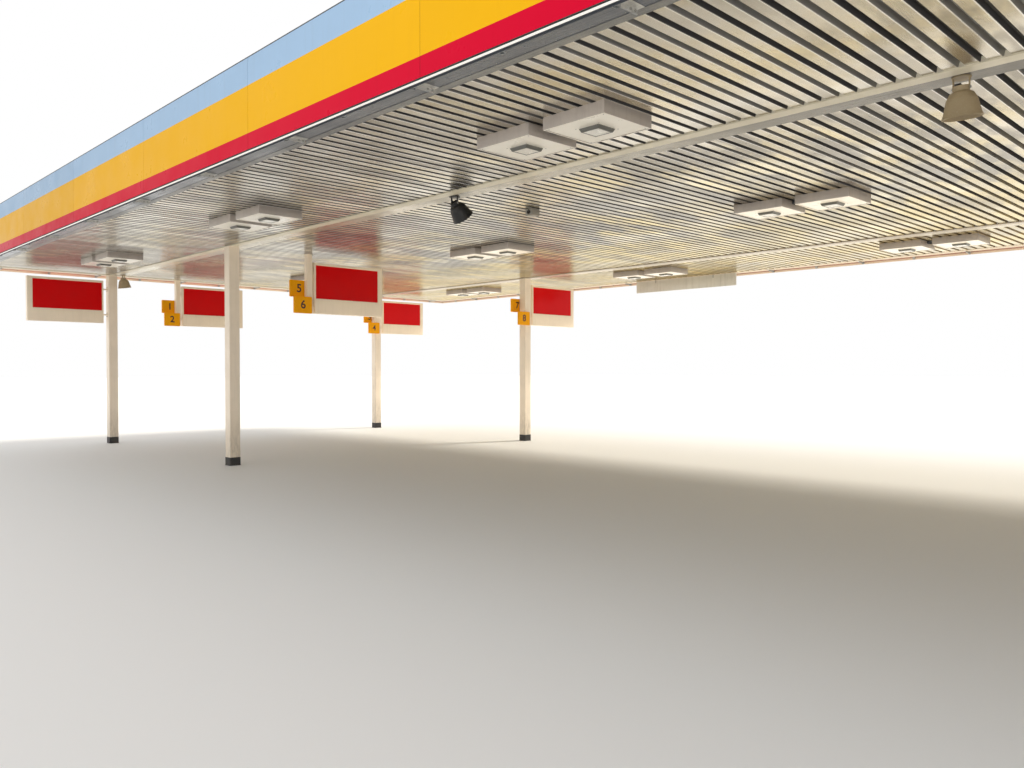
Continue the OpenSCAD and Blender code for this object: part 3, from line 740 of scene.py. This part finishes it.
def rod(radius: float, length: float, sides: int, axis: Axis = Axis.Z, top: float | None = None,
        centre: Vec3 = (0.0, 0.0, 0.0)) -> BMesh:
    """A closed cylinder, prism or frustum.

    Args:
        radius: Its radius at the low end.
        length: Its length.
        sides: How many sides it has.
        axis: The direction it runs in.
        top: Its radius at the high end, where that differs.
        centre: Its middle.

    Returns:
        A new bmesh.
    """
    bm = bmesh.new()
    bmesh.ops.create_cone(bm, cap_ends=True, segments=sides, radius1=radius,
                          radius2=radius if top is None else top, depth=length)
    turn = {Axis.X: turned(QUARTER, Axis.Y), Axis.Y: turned(-QUARTER, Axis.X), Axis.Z: Matrix()}[axis]
    bmesh.ops.transform(bm, matrix=at(*centre) @ turn, verts=bm.verts)
    return bm


def stamped(template: BMesh, places: Iterable[Matrix]) -> BMesh:
    """Copies a template to each place in one new bmesh and frees the template.

    Args:
        template: What is copied, built round the origin.
        places: One matrix for each copy.

    Returns:
        A new bmesh with all the copies.
    """
    mesh = bpy.data.meshes.new("template")
    template.to_mesh(mesh)
    template.free()
    out = bmesh.new()
    for place in places:
        start = len(out.verts)
        out.from_mesh(mesh)
        out.verts.ensure_lookup_table()
        bmesh.ops.transform(out, matrix=place, verts=out.verts[start:])
    bpy.data.meshes.remove(mesh)
    return out


def merged(parts: Iterable[BMesh]) -> BMesh:
    """Puts several bmeshes into one and frees them.

    Args:
        parts: What is put together.

    Returns:
        A new bmesh.
    """
    out = bmesh.new()
    for part in parts:
        mesh = bpy.data.meshes.new("part")
        part.to_mesh(mesh)
        part.free()
        out.from_mesh(mesh)
        bpy.data.meshes.remove(mesh)
    return out


def flat_face(bm: BMesh, normal: Vec3) -> bmesh.types.BMFace:
    """The largest face that looks along a direction."""
    bm.normal_update()
    return max((face for face in bm.faces if face.normal.dot(normal) > 0.99), key=lambda face: face.calc_area())


def recess(bm: BMesh, normal: Vec3, rim: float, depth: float) -> None:
    """Sinks a box's largest face on one side, inside a rim, as folded sheet has.

    Args:
        bm: The box.
        normal: The direction in which the face looks.
        rim: How wide the rim round it is.
        depth: How far it is sunk.
    """
    face = flat_face(bm, normal)
    bmesh.ops.inset_region(bm, faces=[face], thickness=rim, depth=0.0, use_even_offset=True)
    sunk = bmesh.ops.extrude_discrete_faces(bm, faces=[face])["faces"][0]
    bmesh.ops.translate(bm, vec=Vector(normal) * -depth, verts=sunk.verts)


def hex_bolt(radius: float, axis: Axis, way: int) -> BMesh:
    """A hexagon head on its washer, standing on the origin.

    Args:
        radius: The head's radius over its corners.
        axis: The bolt's direction.
        way: 1 where the head points along the axis, or -1.

    Returns:
        A new bmesh.
    """
    step = Vector((0.0, 0.0, 0.0))
    step[axis.value] = way
    washer = radius * 0.25
    head = radius * 0.75
    return merged((rod(radius * 1.35, washer, 16, axis, centre=tuple(step * washer / 2)),
                   rod(radius, head, 6, axis, centre=tuple(step * (washer + head / 2)))))


def stations(pitch: float, long_steps: int, end_steps: int, shift: float = 0.0) -> tuple[list[Matrix], list[Matrix]]:
    """Places at even steps round the fascia, with x along it and y inwards.

    Args:
        pitch: Distance between two places.
        long_steps: Steps to each side of a long side's middle.
        end_steps: Steps to each side of an end's middle.
        shift: How far the long sides' places are moved along them.

    Returns:
        The long sides' places and the ends'.
    """
    return ([at(i * pitch - side * shift, side * PLAN.half_w, 0.0) @ turned(QUARTER * (side + 1))
             for side in BOTH for i in range(-long_steps, long_steps + 1)],
            [at(side * PLAN.half_l, i * pitch, 0.0) @ turned(QUARTER * side)
             for side in BOTH for i in range(-end_steps, end_steps + 1)])


# Sub-assemblies


@dataclass
class LightRows:
    """Thirty box lights in three rows, each with a square lamp unit under it."""

    length: float = 0.71
    width: float = 0.66
    height: float = 0.115
    fold: float = 0.0035
    rim: float = 0.012
    sunk: float = 0.005
    lamp: float = 0.23
    lamp_h: float = 0.026
    lamp_taper: float = 0.88
    lamp_rim: float = 0.014
    lamp_sunk: float = 0.004
    lens_t: float = 0.003
    lens_gap: float = 0.001
    screw_inset: float = 0.04
    screw_gap: float = 0.018
    screw_h: float = 0.003
    screw_radii: Span = (0.0045, 0.0065)
    bridge: Vec3 = (0.18, 0.09, 0.045)
    bridge_rim: float = 0.006
    bridge_sunk: float = 0.038
    rows: dict[str, float] = field(default_factory=lambda: {
        "lights_front": PLAN.front_row - 1.085,
        "lights_middle": PLAN.front_row + 3.63,
        "lights_rear": PLAN.rear_row + 0.98,
    })

    def boxes(self, row_y: float) -> list[Matrix]:
        """Where each box in a row meets the soffit, at its middle."""
        step = (self.length + self.bridge[0]) / 2
        return [at(line + side * step, row_y, PLAN.soffit) for line in PLAN.light_lines for side in BOTH]

    def housing(self) -> BMesh:
        """One folded housing, hung from the origin."""
        bm = block((self.length, self.width, self.height), (0.0, 0.0, -self.height / 2), self.fold, 2)
        recess(bm, DOWN, self.rim, self.sunk)
        return bm

    def lamp_unit(self) -> BMesh:
        """One bevelled square lamp body with a sunk window for its lens.

        Returns:
            A new bmesh.
        """
        deep = self.lamp_h + self.sunk
        bm = block((self.lamp, self.lamp, deep), (0.0, 0.0, self.sunk - self.height - deep / 2))
        bmesh.ops.scale(bm, vec=(self.lamp_taper, self.lamp_taper, 1.0), verts=flat_face(bm, DOWN).verts)
        recess(bm, DOWN, self.lamp_rim, self.lamp_sunk)
        rounded(bm, bm.edges, 0.0012, 1)
        return bm

    def lens(self) -> BMesh:
        """One lens, set in the window of its lamp body."""
        side = self.lamp * self.lamp_taper - 2 * (self.lamp_rim + self.lens_gap)
        z = self.lamp_sunk - self.lens_t / 2 - self.height - self.lamp_h
        return block((side, side, self.lens_t), (0.0, 0.0, z), 0.0008)

    def screws(self) -> BMesh:
        """The pan-head screws in one housing's underside and beside its lamp unit.

        Returns:
            A new bmesh.
        """
        outer = (self.length / 2 - self.screw_inset, self.width / 2 - self.screw_inset)
        inner = (self.lamp / 2 + self.screw_gap,) * 2
        low, top = self.screw_radii
        screw = rod(low, self.screw_h, 10, top=top, centre=(0.0, 0.0, -self.screw_h / 2))
        return stamped(screw, (at(x_way * x, y_way * y, self.sunk - self.height)
                               for x_way in BOTH for y_way in BOTH for x, y in (outer, inner)))

    def channel(self) -> BMesh:
        """The dark channel that joins the two boxes of a group, hung from the origin."""
        bm = block(self.bridge, (0.0, 0.0, -self.bridge[2] / 2))
        recess(bm, DOWN, self.bridge_rim, self.bridge_sunk)
        return bm

    def build(self, shop: Workshop) -> None:
        """Builds every row.

        Args:
            shop: Makes the pieces.
        """
        places = []
        for node, row_y in self.rows.items():
            row = self.boxes(row_y)
            places += row
            # The housings' upright faces get a darker painted shade.
            shop.piece(f"{node}_housings", stamped(self.housing(), row), "light_housing", (node,),
                       sides="housing_side")
        shop.piece("lamp_bodies", stamped(self.lamp_unit(), places), "lamp_body", ("lamp_units",))
        shop.piece("lamp_lenses", stamped(self.lens(), places), "lamp_lens")
        shop.piece("light_screws", stamped(self.screws(), places), "bolt_zinc")
        groups = [at(line, row_y, PLAN.soffit) for row_y in self.rows.values() for line in PLAN.light_lines]
        shop.piece("light_bridges", stamped(self.channel(), groups), "flashing_metal")


@dataclass(frozen=True)
class SignPlace:
    """Where one sign hangs.

    Attributes:
        x: Its post's place along the canopy.
        y: Its post's place across the canopy.
        post_w: Its post's width.
        way: 1 where it points to the rear, or -1.
        gap: Space between the post and the sign.
        length: The sign's length.
    """

    x: float
    y: float
    post_w: float
    way: int
    gap: float
    length: float

    def matrix(self, low: float) -> Matrix:
        """Puts a sign built along +Y from its post's face at a height."""
        return at(self.x, self.y + self.way * self.post_w / 2, low) @ Matrix.Diagonal((1.0, self.way, 1.0, 1.0))


@dataclass
class Signs:
    """Hanging box signs with plain red faces."""

    height: float = 1.0
    thick: float = 0.12
    drop: float = 0.15
    fold: float = 0.006
    top_rim: float = 0.042
    near_rim: float = 0.025
    far_rim: float = 0.1
    face_h: float = 0.672
    face_t: float = 0.004
    sunk: float = 0.01
    bead_w: float = 0.01
    bead_t: float = 0.006
    bracket: float = 0.03
    flange: Vec3 = (0.08, 0.006, 0.11)
    bolt_r: float = 0.008
    bolt_x: float = 0.026
    bolt_z: float = 0.04
    column_gap: float = 0.1
    hanger_gap: float = 0.045
    long: float = 1.6
    short: float = 1.53

    def places(self) -> list[SignPlace]:
        """Lists every sign's place.

        Returns:
            The places, in the CAD model's order.
        """
        found = []
        for x in PLAN.column_lines:
            if abs(x) == PLAN.end_line:
                found.append(SignPlace(x, PLAN.front_row, PLAN.column_w, -1, self.column_gap, self.long))
            found.append(SignPlace(x, PLAN.hanger_row, PLAN.hanger_w, 1, self.hanger_gap, self.long))
            found.append(SignPlace(x, PLAN.rear_row, PLAN.column_w, 1, self.column_gap, self.short))
        return found

    def window(self, place: SignPlace) -> tuple[float, float, float, float]:
        """Near end, far end, foot and top of a sign's red face, in the sign's own place."""
        top = self.height - self.top_rim
        return place.gap + self.near_rim, place.gap + place.length - self.far_rim, top - self.face_h, top

    def body(self, place: SignPlace) -> BMesh:
        """One sign's housing: a rounded box whose two sides are cut and sunk for the red faces.

        Args:
            place: Where the sign hangs.

        Returns:
            A new bmesh.
        """
        size = (self.thick, place.length, self.height)
        bm = block(size, (0.0, place.gap + place.length / 2, self.height / 2), self.fold, 3)
        near, far, low, top = self.window(place)
        for spot, way in (((0, 0, top), (0, 0, 1)), ((0, 0, low), (0, 0, 1)), ((0, near, 0), (0, 1, 0)),
                          ((0, far, 0), (0, 1, 0))):
            bmesh.ops.bisect_plane(bm, geom=bm.verts[:] + bm.edges[:] + bm.faces[:], plane_co=spot, plane_no=way)
        bm.normal_update()
        for side in BOTH:
            spot = Vector((side * self.thick / 2, (near + far) / 2, (low + top) / 2))
            face = min(bm.faces, key=lambda one: (one.calc_center_median() - spot).length)
            sunk = bmesh.ops.extrude_discrete_faces(bm, faces=[face])["faces"][0]
            bmesh.ops.translate(bm, vec=(-side * (self.sunk + self.face_t), 0.0, 0.0), verts=sunk.verts)
        return bm

    def red_faces(self, place: SignPlace) -> BMesh:
        """The two acrylic faces of one sign."""
        near, far, low, top = self.window(place)
        x = self.thick / 2 - self.sunk - self.face_t / 2
        return merged(block((self.face_t, far - near, self.face_h), (side * x, (near + far) / 2, (low + top) / 2),
                            0.0012) for side in BOTH)

    def beads(self, place: SignPlace) -> BMesh:
        """The slim retaining frames round the two red faces.

        Args:
            place: Where the sign hangs.

        Returns:
            A new bmesh.
        """
        near, far, low, top = self.window(place)
        half = self.bead_w / 2
        parts = []
        for side in BOTH:
            x = side * (self.thick / 2 - self.sunk + self.bead_t / 2)
            parts += [block((self.bead_t, far - near, self.bead_w), (x, (near + far) / 2, z), 0.0015)
                      for z in (low + half, top - half)]
            parts += [block((self.bead_t, self.bead_w, top - low - 4 * half), (x, y, (low + top) / 2), 0.0015)
                      for y in (near + half, far - half)]
        return merged(parts)

    def bracket_heights(self) -> Span:
        """How high a sign's two brackets stand above its foot."""
        return self.height / 5, self.height * 4 / 5

    def brackets(self, place: SignPlace) -> BMesh:
        """The two brackets of one sign, with their flanges.

        Args:
            place: Where the sign hangs.

        Returns:
            A new bmesh.
        """
        parts = []
        seat = self.flange[1] / 2
        for z in self.bracket_heights():
            parts.append(block((self.bracket, place.gap, self.bracket), (0.0, place.gap / 2, z), 0.002))
            parts += [block(self.flange, (0.0, y, z), 0.0015) for y in (seat, place.gap - seat)]
        return merged(parts)

    def bracket_bolts(self, place: SignPlace) -> BMesh:
        """The bolts in one sign's bracket flanges."""
        return stamped(hex_bolt(self.bolt_r, Axis.Y, 1), (
            at(x * self.bolt_x, self.flange[1], z + up * self.bolt_z)
            for z in self.bracket_heights() for x in BOTH for up in BOTH))

    def build(self, shop: Workshop) -> None:
        """Builds every sign.

        Args:
            shop: Makes the pieces.
        """
        low = PLAN.soffit - self.drop - self.height
        for name, maker, finish, slot, nodes in (
                ("sign_housings", self.body, "sign_white", "sign_white", ("sign_boxes",)),
                ("sign_panels", self.red_faces, "sign_red", "sign_red", ("sign_faces",)),
                ("sign_beads", self.beads, "sign_white", "sign_white", ()),
                ("sign_brackets", self.brackets, "sign_white", "sign_white", ()),
                ("sign_bolts", self.bracket_bolts, "bolt_zinc", "sign_white", ())):
            parts = merged(stamped(maker(place), (place.matrix(low),)) for place in self.places())
            shop.piece(name, parts, finish, nodes)


@dataclass
class NumberPlates:
    """Orange plates with plain numbers, two beside each post that carries a rearward sign."""

    width: float = 0.38
    height: float = 0.325
    thick: float = 0.045
    drop: float = 0.51
    seat: float = 0.02
    corner: float = 0.018
    rim: float = 0.006
    sunk: float = 0.0015
    digit_size: float = 0.22275
    digit_t: float = 0.0015
    digit_bold: float = 0.0045

    def plate(self) -> BMesh:
        """One plate with rounded corners and a fine raised rim on both faces.

        Returns:
            A new bmesh.
        """
        bm = block((self.thick, self.width, self.height))
        along = (edge for edge in bm.edges if abs(edge.verts[0].co.x - edge.verts[1].co.x) > self.thick / 2)
        rounded(bm, along, self.corner, 5)
        for side in BOTH:
            recess(bm, (side, 0.0, 0.0), self.rim, self.sunk)
        return bm

    def number(self, value: int) -> BMesh:
        """One number's flat digits, upright in the YZ plane and facing +X.

        Args:
            value: The number.

        Returns:
            A new bmesh.
        """
        curve = bpy.data.curves.new("number", "FONT")
        curve.body = str(value)
        curve.size = self.digit_size
        curve.align_x = "CENTER"
        curve.align_y = "CENTER"
        curve.extrude = self.digit_t / 2
        curve.offset = self.digit_bold
        text = bpy.data.objects.new("number", curve)
        bpy.context.scene.collection.objects.link(text)
        bpy.context.view_layer.update()
        mesh = bpy.data.meshes.new_from_object(text.evaluated_get(bpy.context.evaluated_depsgraph_get()))
        bm = bmesh.new()
        bm.from_mesh(mesh)
        bmesh.ops.remove_doubles(bm, verts=bm.verts[:], dist=0.00005)
        bmesh.ops.transform(bm, matrix=turned(QUARTER) @ turned(QUARTER, Axis.X), verts=bm.verts)
        bpy.data.objects.remove(text)
        bpy.data.curves.remove(curve)
        bpy.data.meshes.remove(mesh)
        return bm

    def build(self, shop: Workshop, signs: Signs) -> None:
        """Builds the plates and their numbers.

        Args:
            shop: Makes the pieces.
            signs: Says where the posts are.
        """
        spots = []
        for place in signs.places():
            if place.way > 0:
                for low, side in enumerate(BOTH):
                    spots.append(at(place.x + side * (place.post_w + self.thick) / 2,
                                    place.y + self.seat - self.width / 2,
                                    PLAN.soffit - self.drop - self.height * (low + 0.5)))
        shop.piece("number_plate_bodies", stamped(self.plate(), spots), "plate_orange",
                   ("number_plates",))
        out = self.thick / 2 - self.sunk + self.digit_t / 2
        digits = [stamped(self.number(value), (spot @ turned(angle) @ at(out, 0.0, 0.0),))
                  for value, spot in enumerate(spots, 1) for angle in (0.0, math.pi)]
        shop.piece("plate_numbers", merged(digits), "number_dark", smooth=20.0)


@dataclass
class FrameFixings:
    """Bolts and cleats where the fascia frames' lower arms meet the flashing."""

    pitch: float = PLAN.bay / 3
    long_steps: int = 7
    end_steps: int = 3
    arm_t: float = 0.008
    arm_z: float = 3.981
    reach_long: float = 0.27
    reach_end: float = 0.38
    bolt_r: float = 0.009
    bolt_insets: Span = (0.03, 0.075)
    cleat_start: float = 0.09
    cleat_l: float = 0.24
    cleat_w: float = 0.06
    cleat_h: float = 0.034
    cleat_t: float = 0.003
    cleat_drop: float = 0.0031

    def arms(self) -> list[tuple[Matrix, float]]:
        """Each arm's place at the fascia, and its reach."""
        long_sides, ends = stations(self.pitch, self.long_steps, self.end_steps)
        return [(spot, self.reach_long) for spot in long_sides] + [(spot, self.reach_end) for spot in ends]

    def cleat(self, reach: float) -> BMesh:
        """One angle cleat beside an arm.

        Args:
            reach: How far inwards the arm reaches.

        Returns:
            A new bmesh, in the arm's own place.
        """
        length = min(reach - self.cleat_start, self.cleat_l)
        middle = self.cleat_start + length / 2
        top = (self.cleat_w / 2 + self.arm_t / 2, middle, PLAN.soffit - self.cleat_drop)
        side = (self.cleat_t / 2 + self.arm_t / 2, middle, self.arm_z)
        return merged((block((self.cleat_w, length, self.cleat_t), top, 0.0008),
                       block((self.cleat_t, length, self.cleat_h), side, 0.0008)))

    def build(self, shop: Workshop) -> None:
        """Builds the bolts and cleats.

        Args:
            shop: Makes the pieces.
        """
        arms = self.arms()
        bolts = [stamped(hex_bolt(self.bolt_r, Axis.X, side),
                         (spot @ at(side * self.arm_t / 2, reach - inset, self.arm_z),))
                 for spot, reach in arms for inset in self.bolt_insets for side in BOTH]
        shop.piece("frame_bolts", merged(bolts), "bolt_zinc")
        cleats = merged(stamped(self.cleat(reach), (spot,)) for spot, reach in arms)
        shop.piece("frame_cleats", cleats, "cleat_zinc")


@dataclass
class PanelGaskets:
    """Dark rubber strips just behind the open joints between the fascia panels."""

    pitch: float = 2.85
    joint: float = 0.004
    depth: float = 0.03
    sunk: float = 0.0015
    low: float = 3.9862
    high: float = 4.9098
    long_steps: int = 5
    end_steps: int = 2

    def build(self, shop: Workshop) -> None:
        """Builds one strip in each joint.

        Args:
            shop: Makes the pieces.
        """
        long_sides, ends = stations(self.pitch, self.long_steps, self.end_steps, PLAN.first_joint)
        strip = block((self.joint, self.depth, self.high - self.low),
                      (0.0, self.sunk + self.depth / 2, (self.low + self.high) / 2), 0.0004)
        shop.piece("fascia_gaskets", stamped(strip, long_sides + ends), "gasket_black")


@dataclass
class FlashingRivets:
    """Pop rivets along the flashings and the gutter soles."""

    pitch: float = 0.3
    radius: float = 0.005
    height: float = 0.002
    edge_inset: float = 0.255
    end_inset: float = 0.15
    flashing_drop: float = 0.0015
    sole_middle: float = 0.225
    sole_inset: float = 0.1

    def build(self, shop: Workshop) -> None:
        """Builds each line of rivets as one array.

        Args:
            shop: Makes the pieces.
        """
        lines = [(side * (PLAN.half_w - self.edge_inset), PLAN.soffit - self.flashing_drop,
                  PLAN.half_l - self.end_inset) for side in BOTH]
        lines += [(row + PLAN.beam_half + self.sole_middle, PLAN.soffit, PLAN.end_line - self.sole_inset)
                  for row in (PLAN.front_row, PLAN.rear_row)]
        rows = []
        for y, z, half in lines:
            count = int(2 * half / self.pitch)
            rivet = rod(self.radius * 0.45, self.height, 10, top=self.radius, centre=(0.0, 0.0, -self.height / 2))
            rows.append(stamped(rivet, (at((i - count / 2) * self.pitch, y, z) for i in range(count + 1))))
        shop.piece("flashing_rivets", merged(rows), "bolt_zinc")


@dataclass
class BellLampTrim:
    """Rolled rims and bracket bolts on the bell lamps."""

    mouth_d: float = 0.29
    shade_h: float = 0.24
    bracket_h: float = 0.085
    rim_r: float = 0.005
    rim_inset: float = 0.002
    bolt_r: float = 0.009
    row: float = PLAN.front_row + PLAN.beam_half + 0.115
    lamps: tuple[tuple[float, float, str], ...] = (
        (-PLAN.end_line + 0.24, 8.0, "lamp_beige"), (PLAN.bay / 2, 8.0, "lamp_beige"),
        (-PLAN.bay / 2, 42.0, "lamp_black"))

    def rim(self) -> BMesh:
        """The rolled edge of one mouth, round the shade's own axis.

        Returns:
            A new bmesh.
        """
        bm = bmesh.new()
        circle = bmesh.ops.create_circle(bm, cap_ends=False, segments=10, radius=self.rim_r)["verts"]
        upright = at(self.mouth_d / 2 - self.rim_inset, 0.0, 0.0) @ turned(QUARTER, Axis.X)
        bmesh.ops.transform(bm, matrix=upright, verts=circle)
        bmesh.ops.spin(bm, geom=bm.verts[:] + bm.edges[:], cent=(0, 0, 0), axis=(0, 0, 1), angle=math.tau,
                       steps=64, use_merge=True)
        return bm

    def build(self, shop: Workshop) -> None:
        """Builds each lamp's trim.

        Args:
            shop: Makes the pieces.
        """
        mouth_z = self.shade_h * 0.08 - self.shade_h + self.rim_inset
        out = self.mouth_d * 0.2 + 0.004
        for number, (x, tilt, finish) in enumerate(self.lamps, 1):
            pivot = at(x, self.row, PLAN.soffit - self.bracket_h)
            mouth = pivot @ turned(math.radians(tilt), Axis.X) @ at(0.0, 0.0, mouth_z)
            shop.piece(f"bell_lamp_{number}_rim", stamped(self.rim(), (mouth,)), finish)
            bolts = merged(stamped(hex_bolt(self.bolt_r, Axis.X, side), (pivot @ at(side * out, 0.0, 0.0),))
                           for side in BOTH)
            shop.piece(f"bell_lamp_{number}_bolts", bolts, "bolt_zinc")


@dataclass
class SmallFittings:
    """The sensor box and the board under the rear fascia with its hooks."""

    sensor_w: float = 0.145
    sensor_h: float = 0.1
    sensor_x: float = -PLAN.bay / 2 + 0.145
    sensor_y: float = PLAN.front_row + 1.49
    lens_radii: Span = (0.032, 0.028)
    lens_t: float = 0.012
    lens_sunk: float = 0.004
    board_l: float = 2.85
    board_h: float = 0.29
    board_t: float = 0.04
    board_x: float = -6.28
    board_y: float = PLAN.half_w - 0.31
    board_top: float = 3.995
    hook: Vec3 = (0.03, 0.003, 0.09)
    hook_share: float = 0.29
    hook_drop: float = 0.025
    bolt_drop: float = 0.05
    bolt_r: float = 0.007

    def build(self, shop: Workshop) -> None:
        """Builds the fittings.

        Args:
            shop: Makes the pieces.
        """
        x, y, z = self.sensor_x, self.sensor_y, PLAN.soffit - self.sensor_h / 2
        case = block((self.sensor_w, self.sensor_w, self.sensor_h), (x, y, z), 0.008, 3)
        shop.piece("sensor_case", case, "sensor_grey", ("sensor_box",))
        wide, slim = self.lens_radii
        lens = rod(wide, self.lens_t, 32, Axis.Y, slim, (x, y - self.sensor_w / 2 - self.lens_sunk, z))
        shop.piece("sensor_lens", lens, "dark_glass")
        board = block((self.board_l, self.board_t, self.board_h),
                      (self.board_x, self.board_y, self.board_top - self.board_h / 2), 0.004, 2)
        shop.piece("hung_board", board, "board_white", ("rear_board",))
        front = self.board_y - self.board_t / 2
        hooks = []
        for side in BOTH:
            x = self.board_x + side * self.hook_share * self.board_l
            hooks.append(block(self.hook, (x, front - self.hook[1] / 2, self.board_top - self.hook_drop), 0.0008))
            hooks.append(stamped(hex_bolt(self.bolt_r, Axis.Y, -1),
                                 (at(x, front - self.hook[1], self.board_top - self.bolt_drop),)))
        shop.piece("board_hooks", merged(hooks), "bolt_zinc")


@dataclass
class ColumnTrim:
    """Sealant beads at the columns' feet and bolts through the hanger plates."""

    bead: float = 0.006
    band_t: float = 0.004
    plate_t: float = 0.008
    bolt_r: float = 0.0065
    bolt_out: float = 0.061

    def ring(self) -> BMesh:
        """The beads round one foot.

        Returns:
            A new bmesh.
        """
        half = PLAN.column_w / 2 + self.band_t
        long, short = 2 * half + self.bead, 2 * half - self.bead
        return merged(block(size, spot, 0.002) for way in BOTH for size, spot in (
            ((long, self.bead, self.bead), (0.0, way * half, self.bead / 2)),
            ((self.bead, short, self.bead), (way * half, 0.0, self.bead / 2))))

    def build(self, shop: Workshop) -> None:
        """Builds the beads and bolts.

        Args:
            shop: Makes the pieces.
        """
        feet = [at(x, y, 0.0) for x in PLAN.column_lines for y in (PLAN.front_row, PLAN.rear_row)]
        shop.piece("column_foot_beads", stamped(self.ring(), feet), "foot_black")
        bolts = []
        for x in PLAN.column_lines:
            top = (PLAN.beam_z if abs(x) == PLAN.end_line else PLAN.soffit) - self.plate_t
            bolts += [at(x + x_way * self.bolt_out, PLAN.hanger_row + y_way * self.bolt_out, top)
                      for x_way in BOTH for y_way in BOTH]
        shop.piece("hanger_bolts", stamped(hex_bolt(self.bolt_r, Axis.Z, -1), bolts), "bolt_zinc")


# Studio


@dataclass
class Studio:
    """A pale floor, soft light and a camera at the photograph's place."""

    eye: Vec3 = (5.21, -10.58, 1.735)
    heading: Span = (-0.7188, 0.6952)
    pitch_px: float = -13.7
    focal_px: float = 820.0
    image_w: float = 1024.0
    sensor: float = 36.0
    sight: float = 900.0
    floor_size: float = 400.0
    floor_colour: Colour = (0.84, 0.84, 0.83)
    world_light: float = 0.96
    sun: float = 3.2
    sun_colour: Colour = (1.0, 0.93, 0.8)
    sun_place: Vec3 = (0.0, -20.0, 30.0)
    sun_way: Vec3 = (-0.25, -0.8, -0.6)
    sun_spread: float = 12.0
    glow_spread: float = 95.0
    glow_colour: Colour = (1.0, 0.9, 0.74)
    glows: tuple[tuple[str, float, Vec3, Vec3, Span], ...] = (
        ("floor_glow", 0.55, (0.0, 1.5, 0.01), (0.0, 0.0, 1.0), (30.0, 9.0)),
        ("front_glow", 0.4, (-3.0, -12.0, 0.01), (0.0, 0.0, 1.0), (34.0, 8.0)),
        ("front_soft", 0.35, (-5.0, -24.0, 4.0), (0.1, 1.0, -0.05), (26.0, 7.0)))

    def placed(self, name: str, data: bpy.types.ID, spot: Vec3, way: Vec3) -> bpy.types.Object:
        """Puts a camera or lamp in the scene.

        Args:
            name: The object's name.
            data: The camera or lamp.
            spot: Its place.
            way: The direction it looks or shines in.

        Returns:
            The new object.
        """
        thing = bpy.data.objects.new(name, data)
        thing.location = spot
        thing.rotation_euler = Vector(way).to_track_quat("-Z", "Y").to_euler()
        bpy.context.scene.collection.objects.link(thing)
        return thing

    def camera(self) -> None:
        """Adds the camera and makes it the scene's."""
        data = bpy.data.cameras.new("camera")
        data.sensor_width = self.sensor
        data.lens = self.focal_px / self.image_w * self.sensor
        data.clip_end = self.sight
        look = (*self.heading, math.hypot(*self.heading) * self.pitch_px / self.focal_px)
        bpy.context.scene.camera = self.placed("camera", data, self.eye, look)

    def floor(self) -> None:
        """Adds the pale floor."""
        bm = bmesh.new()
        bmesh.ops.create_grid(bm, x_segments=1, y_segments=1, size=self.floor_size / 2)
        mesh = bpy.data.meshes.new("floor")
        bm.to_mesh(mesh)
        bm.free()
        mesh.materials.append(Graph("floor").surface(Base_Color=self.floor_colour, Roughness=0.7))
        floor = bpy.data.objects.new("floor", mesh)
        bpy.context.scene.collection.objects.link(floor)

    def world(self) -> None:
        """Lights the scene evenly and shows white to the camera and in reflections."""
        world = bpy.data.worlds.new("studio")
        world.use_nodes = True
        tree = world.node_tree
        tree.nodes.clear()
        path = add_node(tree, "LightPath")
        sees = path.outputs["Is Camera Ray"]
        for name in ("Is Glossy Ray", "Is Transmission Ray"):
            higher = add_node(tree, "Math", sees, path.outputs[name])
            higher.operation = "MAXIMUM"
            sees = higher.outputs[0]
        light, shown = (add_node(tree, "Background", WHITE, strength).outputs[0]
                        for strength in (self.world_light, 1.0))
        add_node(tree, "OutputWorld", add_node(tree, "MixShader", sees, light, shown).outputs[0])
        bpy.context.scene.world = world

    def lamps(self) -> None:
        """Adds the sun and the soft glows, which neither the camera nor reflections see."""
        data = bpy.data.lights.new("sun", "SUN")
        data.energy = self.sun
        data.angle = math.radians(self.sun_spread)
        data.color = self.sun_colour
        lamps = [self.placed("sun", data, self.sun_place, self.sun_way)]
        for name, glow, spot, way, size in self.glows:
            data = bpy.data.lights.new(name, "AREA")
            data.energy = glow * math.pi * size[0] * size[1]
            data.shape = "RECTANGLE"
            data.size, data.size_y = size
            data.spread = math.radians(self.glow_spread)
            data.color = self.glow_colour
            lamps.append(self.placed(name, data, spot, way))
        for lamp in lamps:
            lamp.visible_camera = False
            lamp.visible_glossy = False

    def build(self) -> None:
        """Builds the studio."""
        self.camera()
        self.floor()
        self.world()
        self.lamps()
        bpy.context.scene.view_settings.view_transform = "Standard"


def main() -> None:
    """Builds the studio and every sub-assembly."""
    logging.basicConfig(level=logging.INFO, format="%(name)s: %(message)s")
    Studio().build()
    shop = Workshop()
    shop.dress_nodes()
    signs = Signs()
    LightRows().build(shop)
    signs.build(shop)
    NumberPlates().build(shop, signs)
    FrameFixings().build(shop)
    PanelGaskets().build(shop)
    FlashingRivets().build(shop)
    BellLampTrim().build(shop)
    SmallFittings().build(shop)
    ColumnTrim().build(shop)


if __name__ == "__main__":
    main()
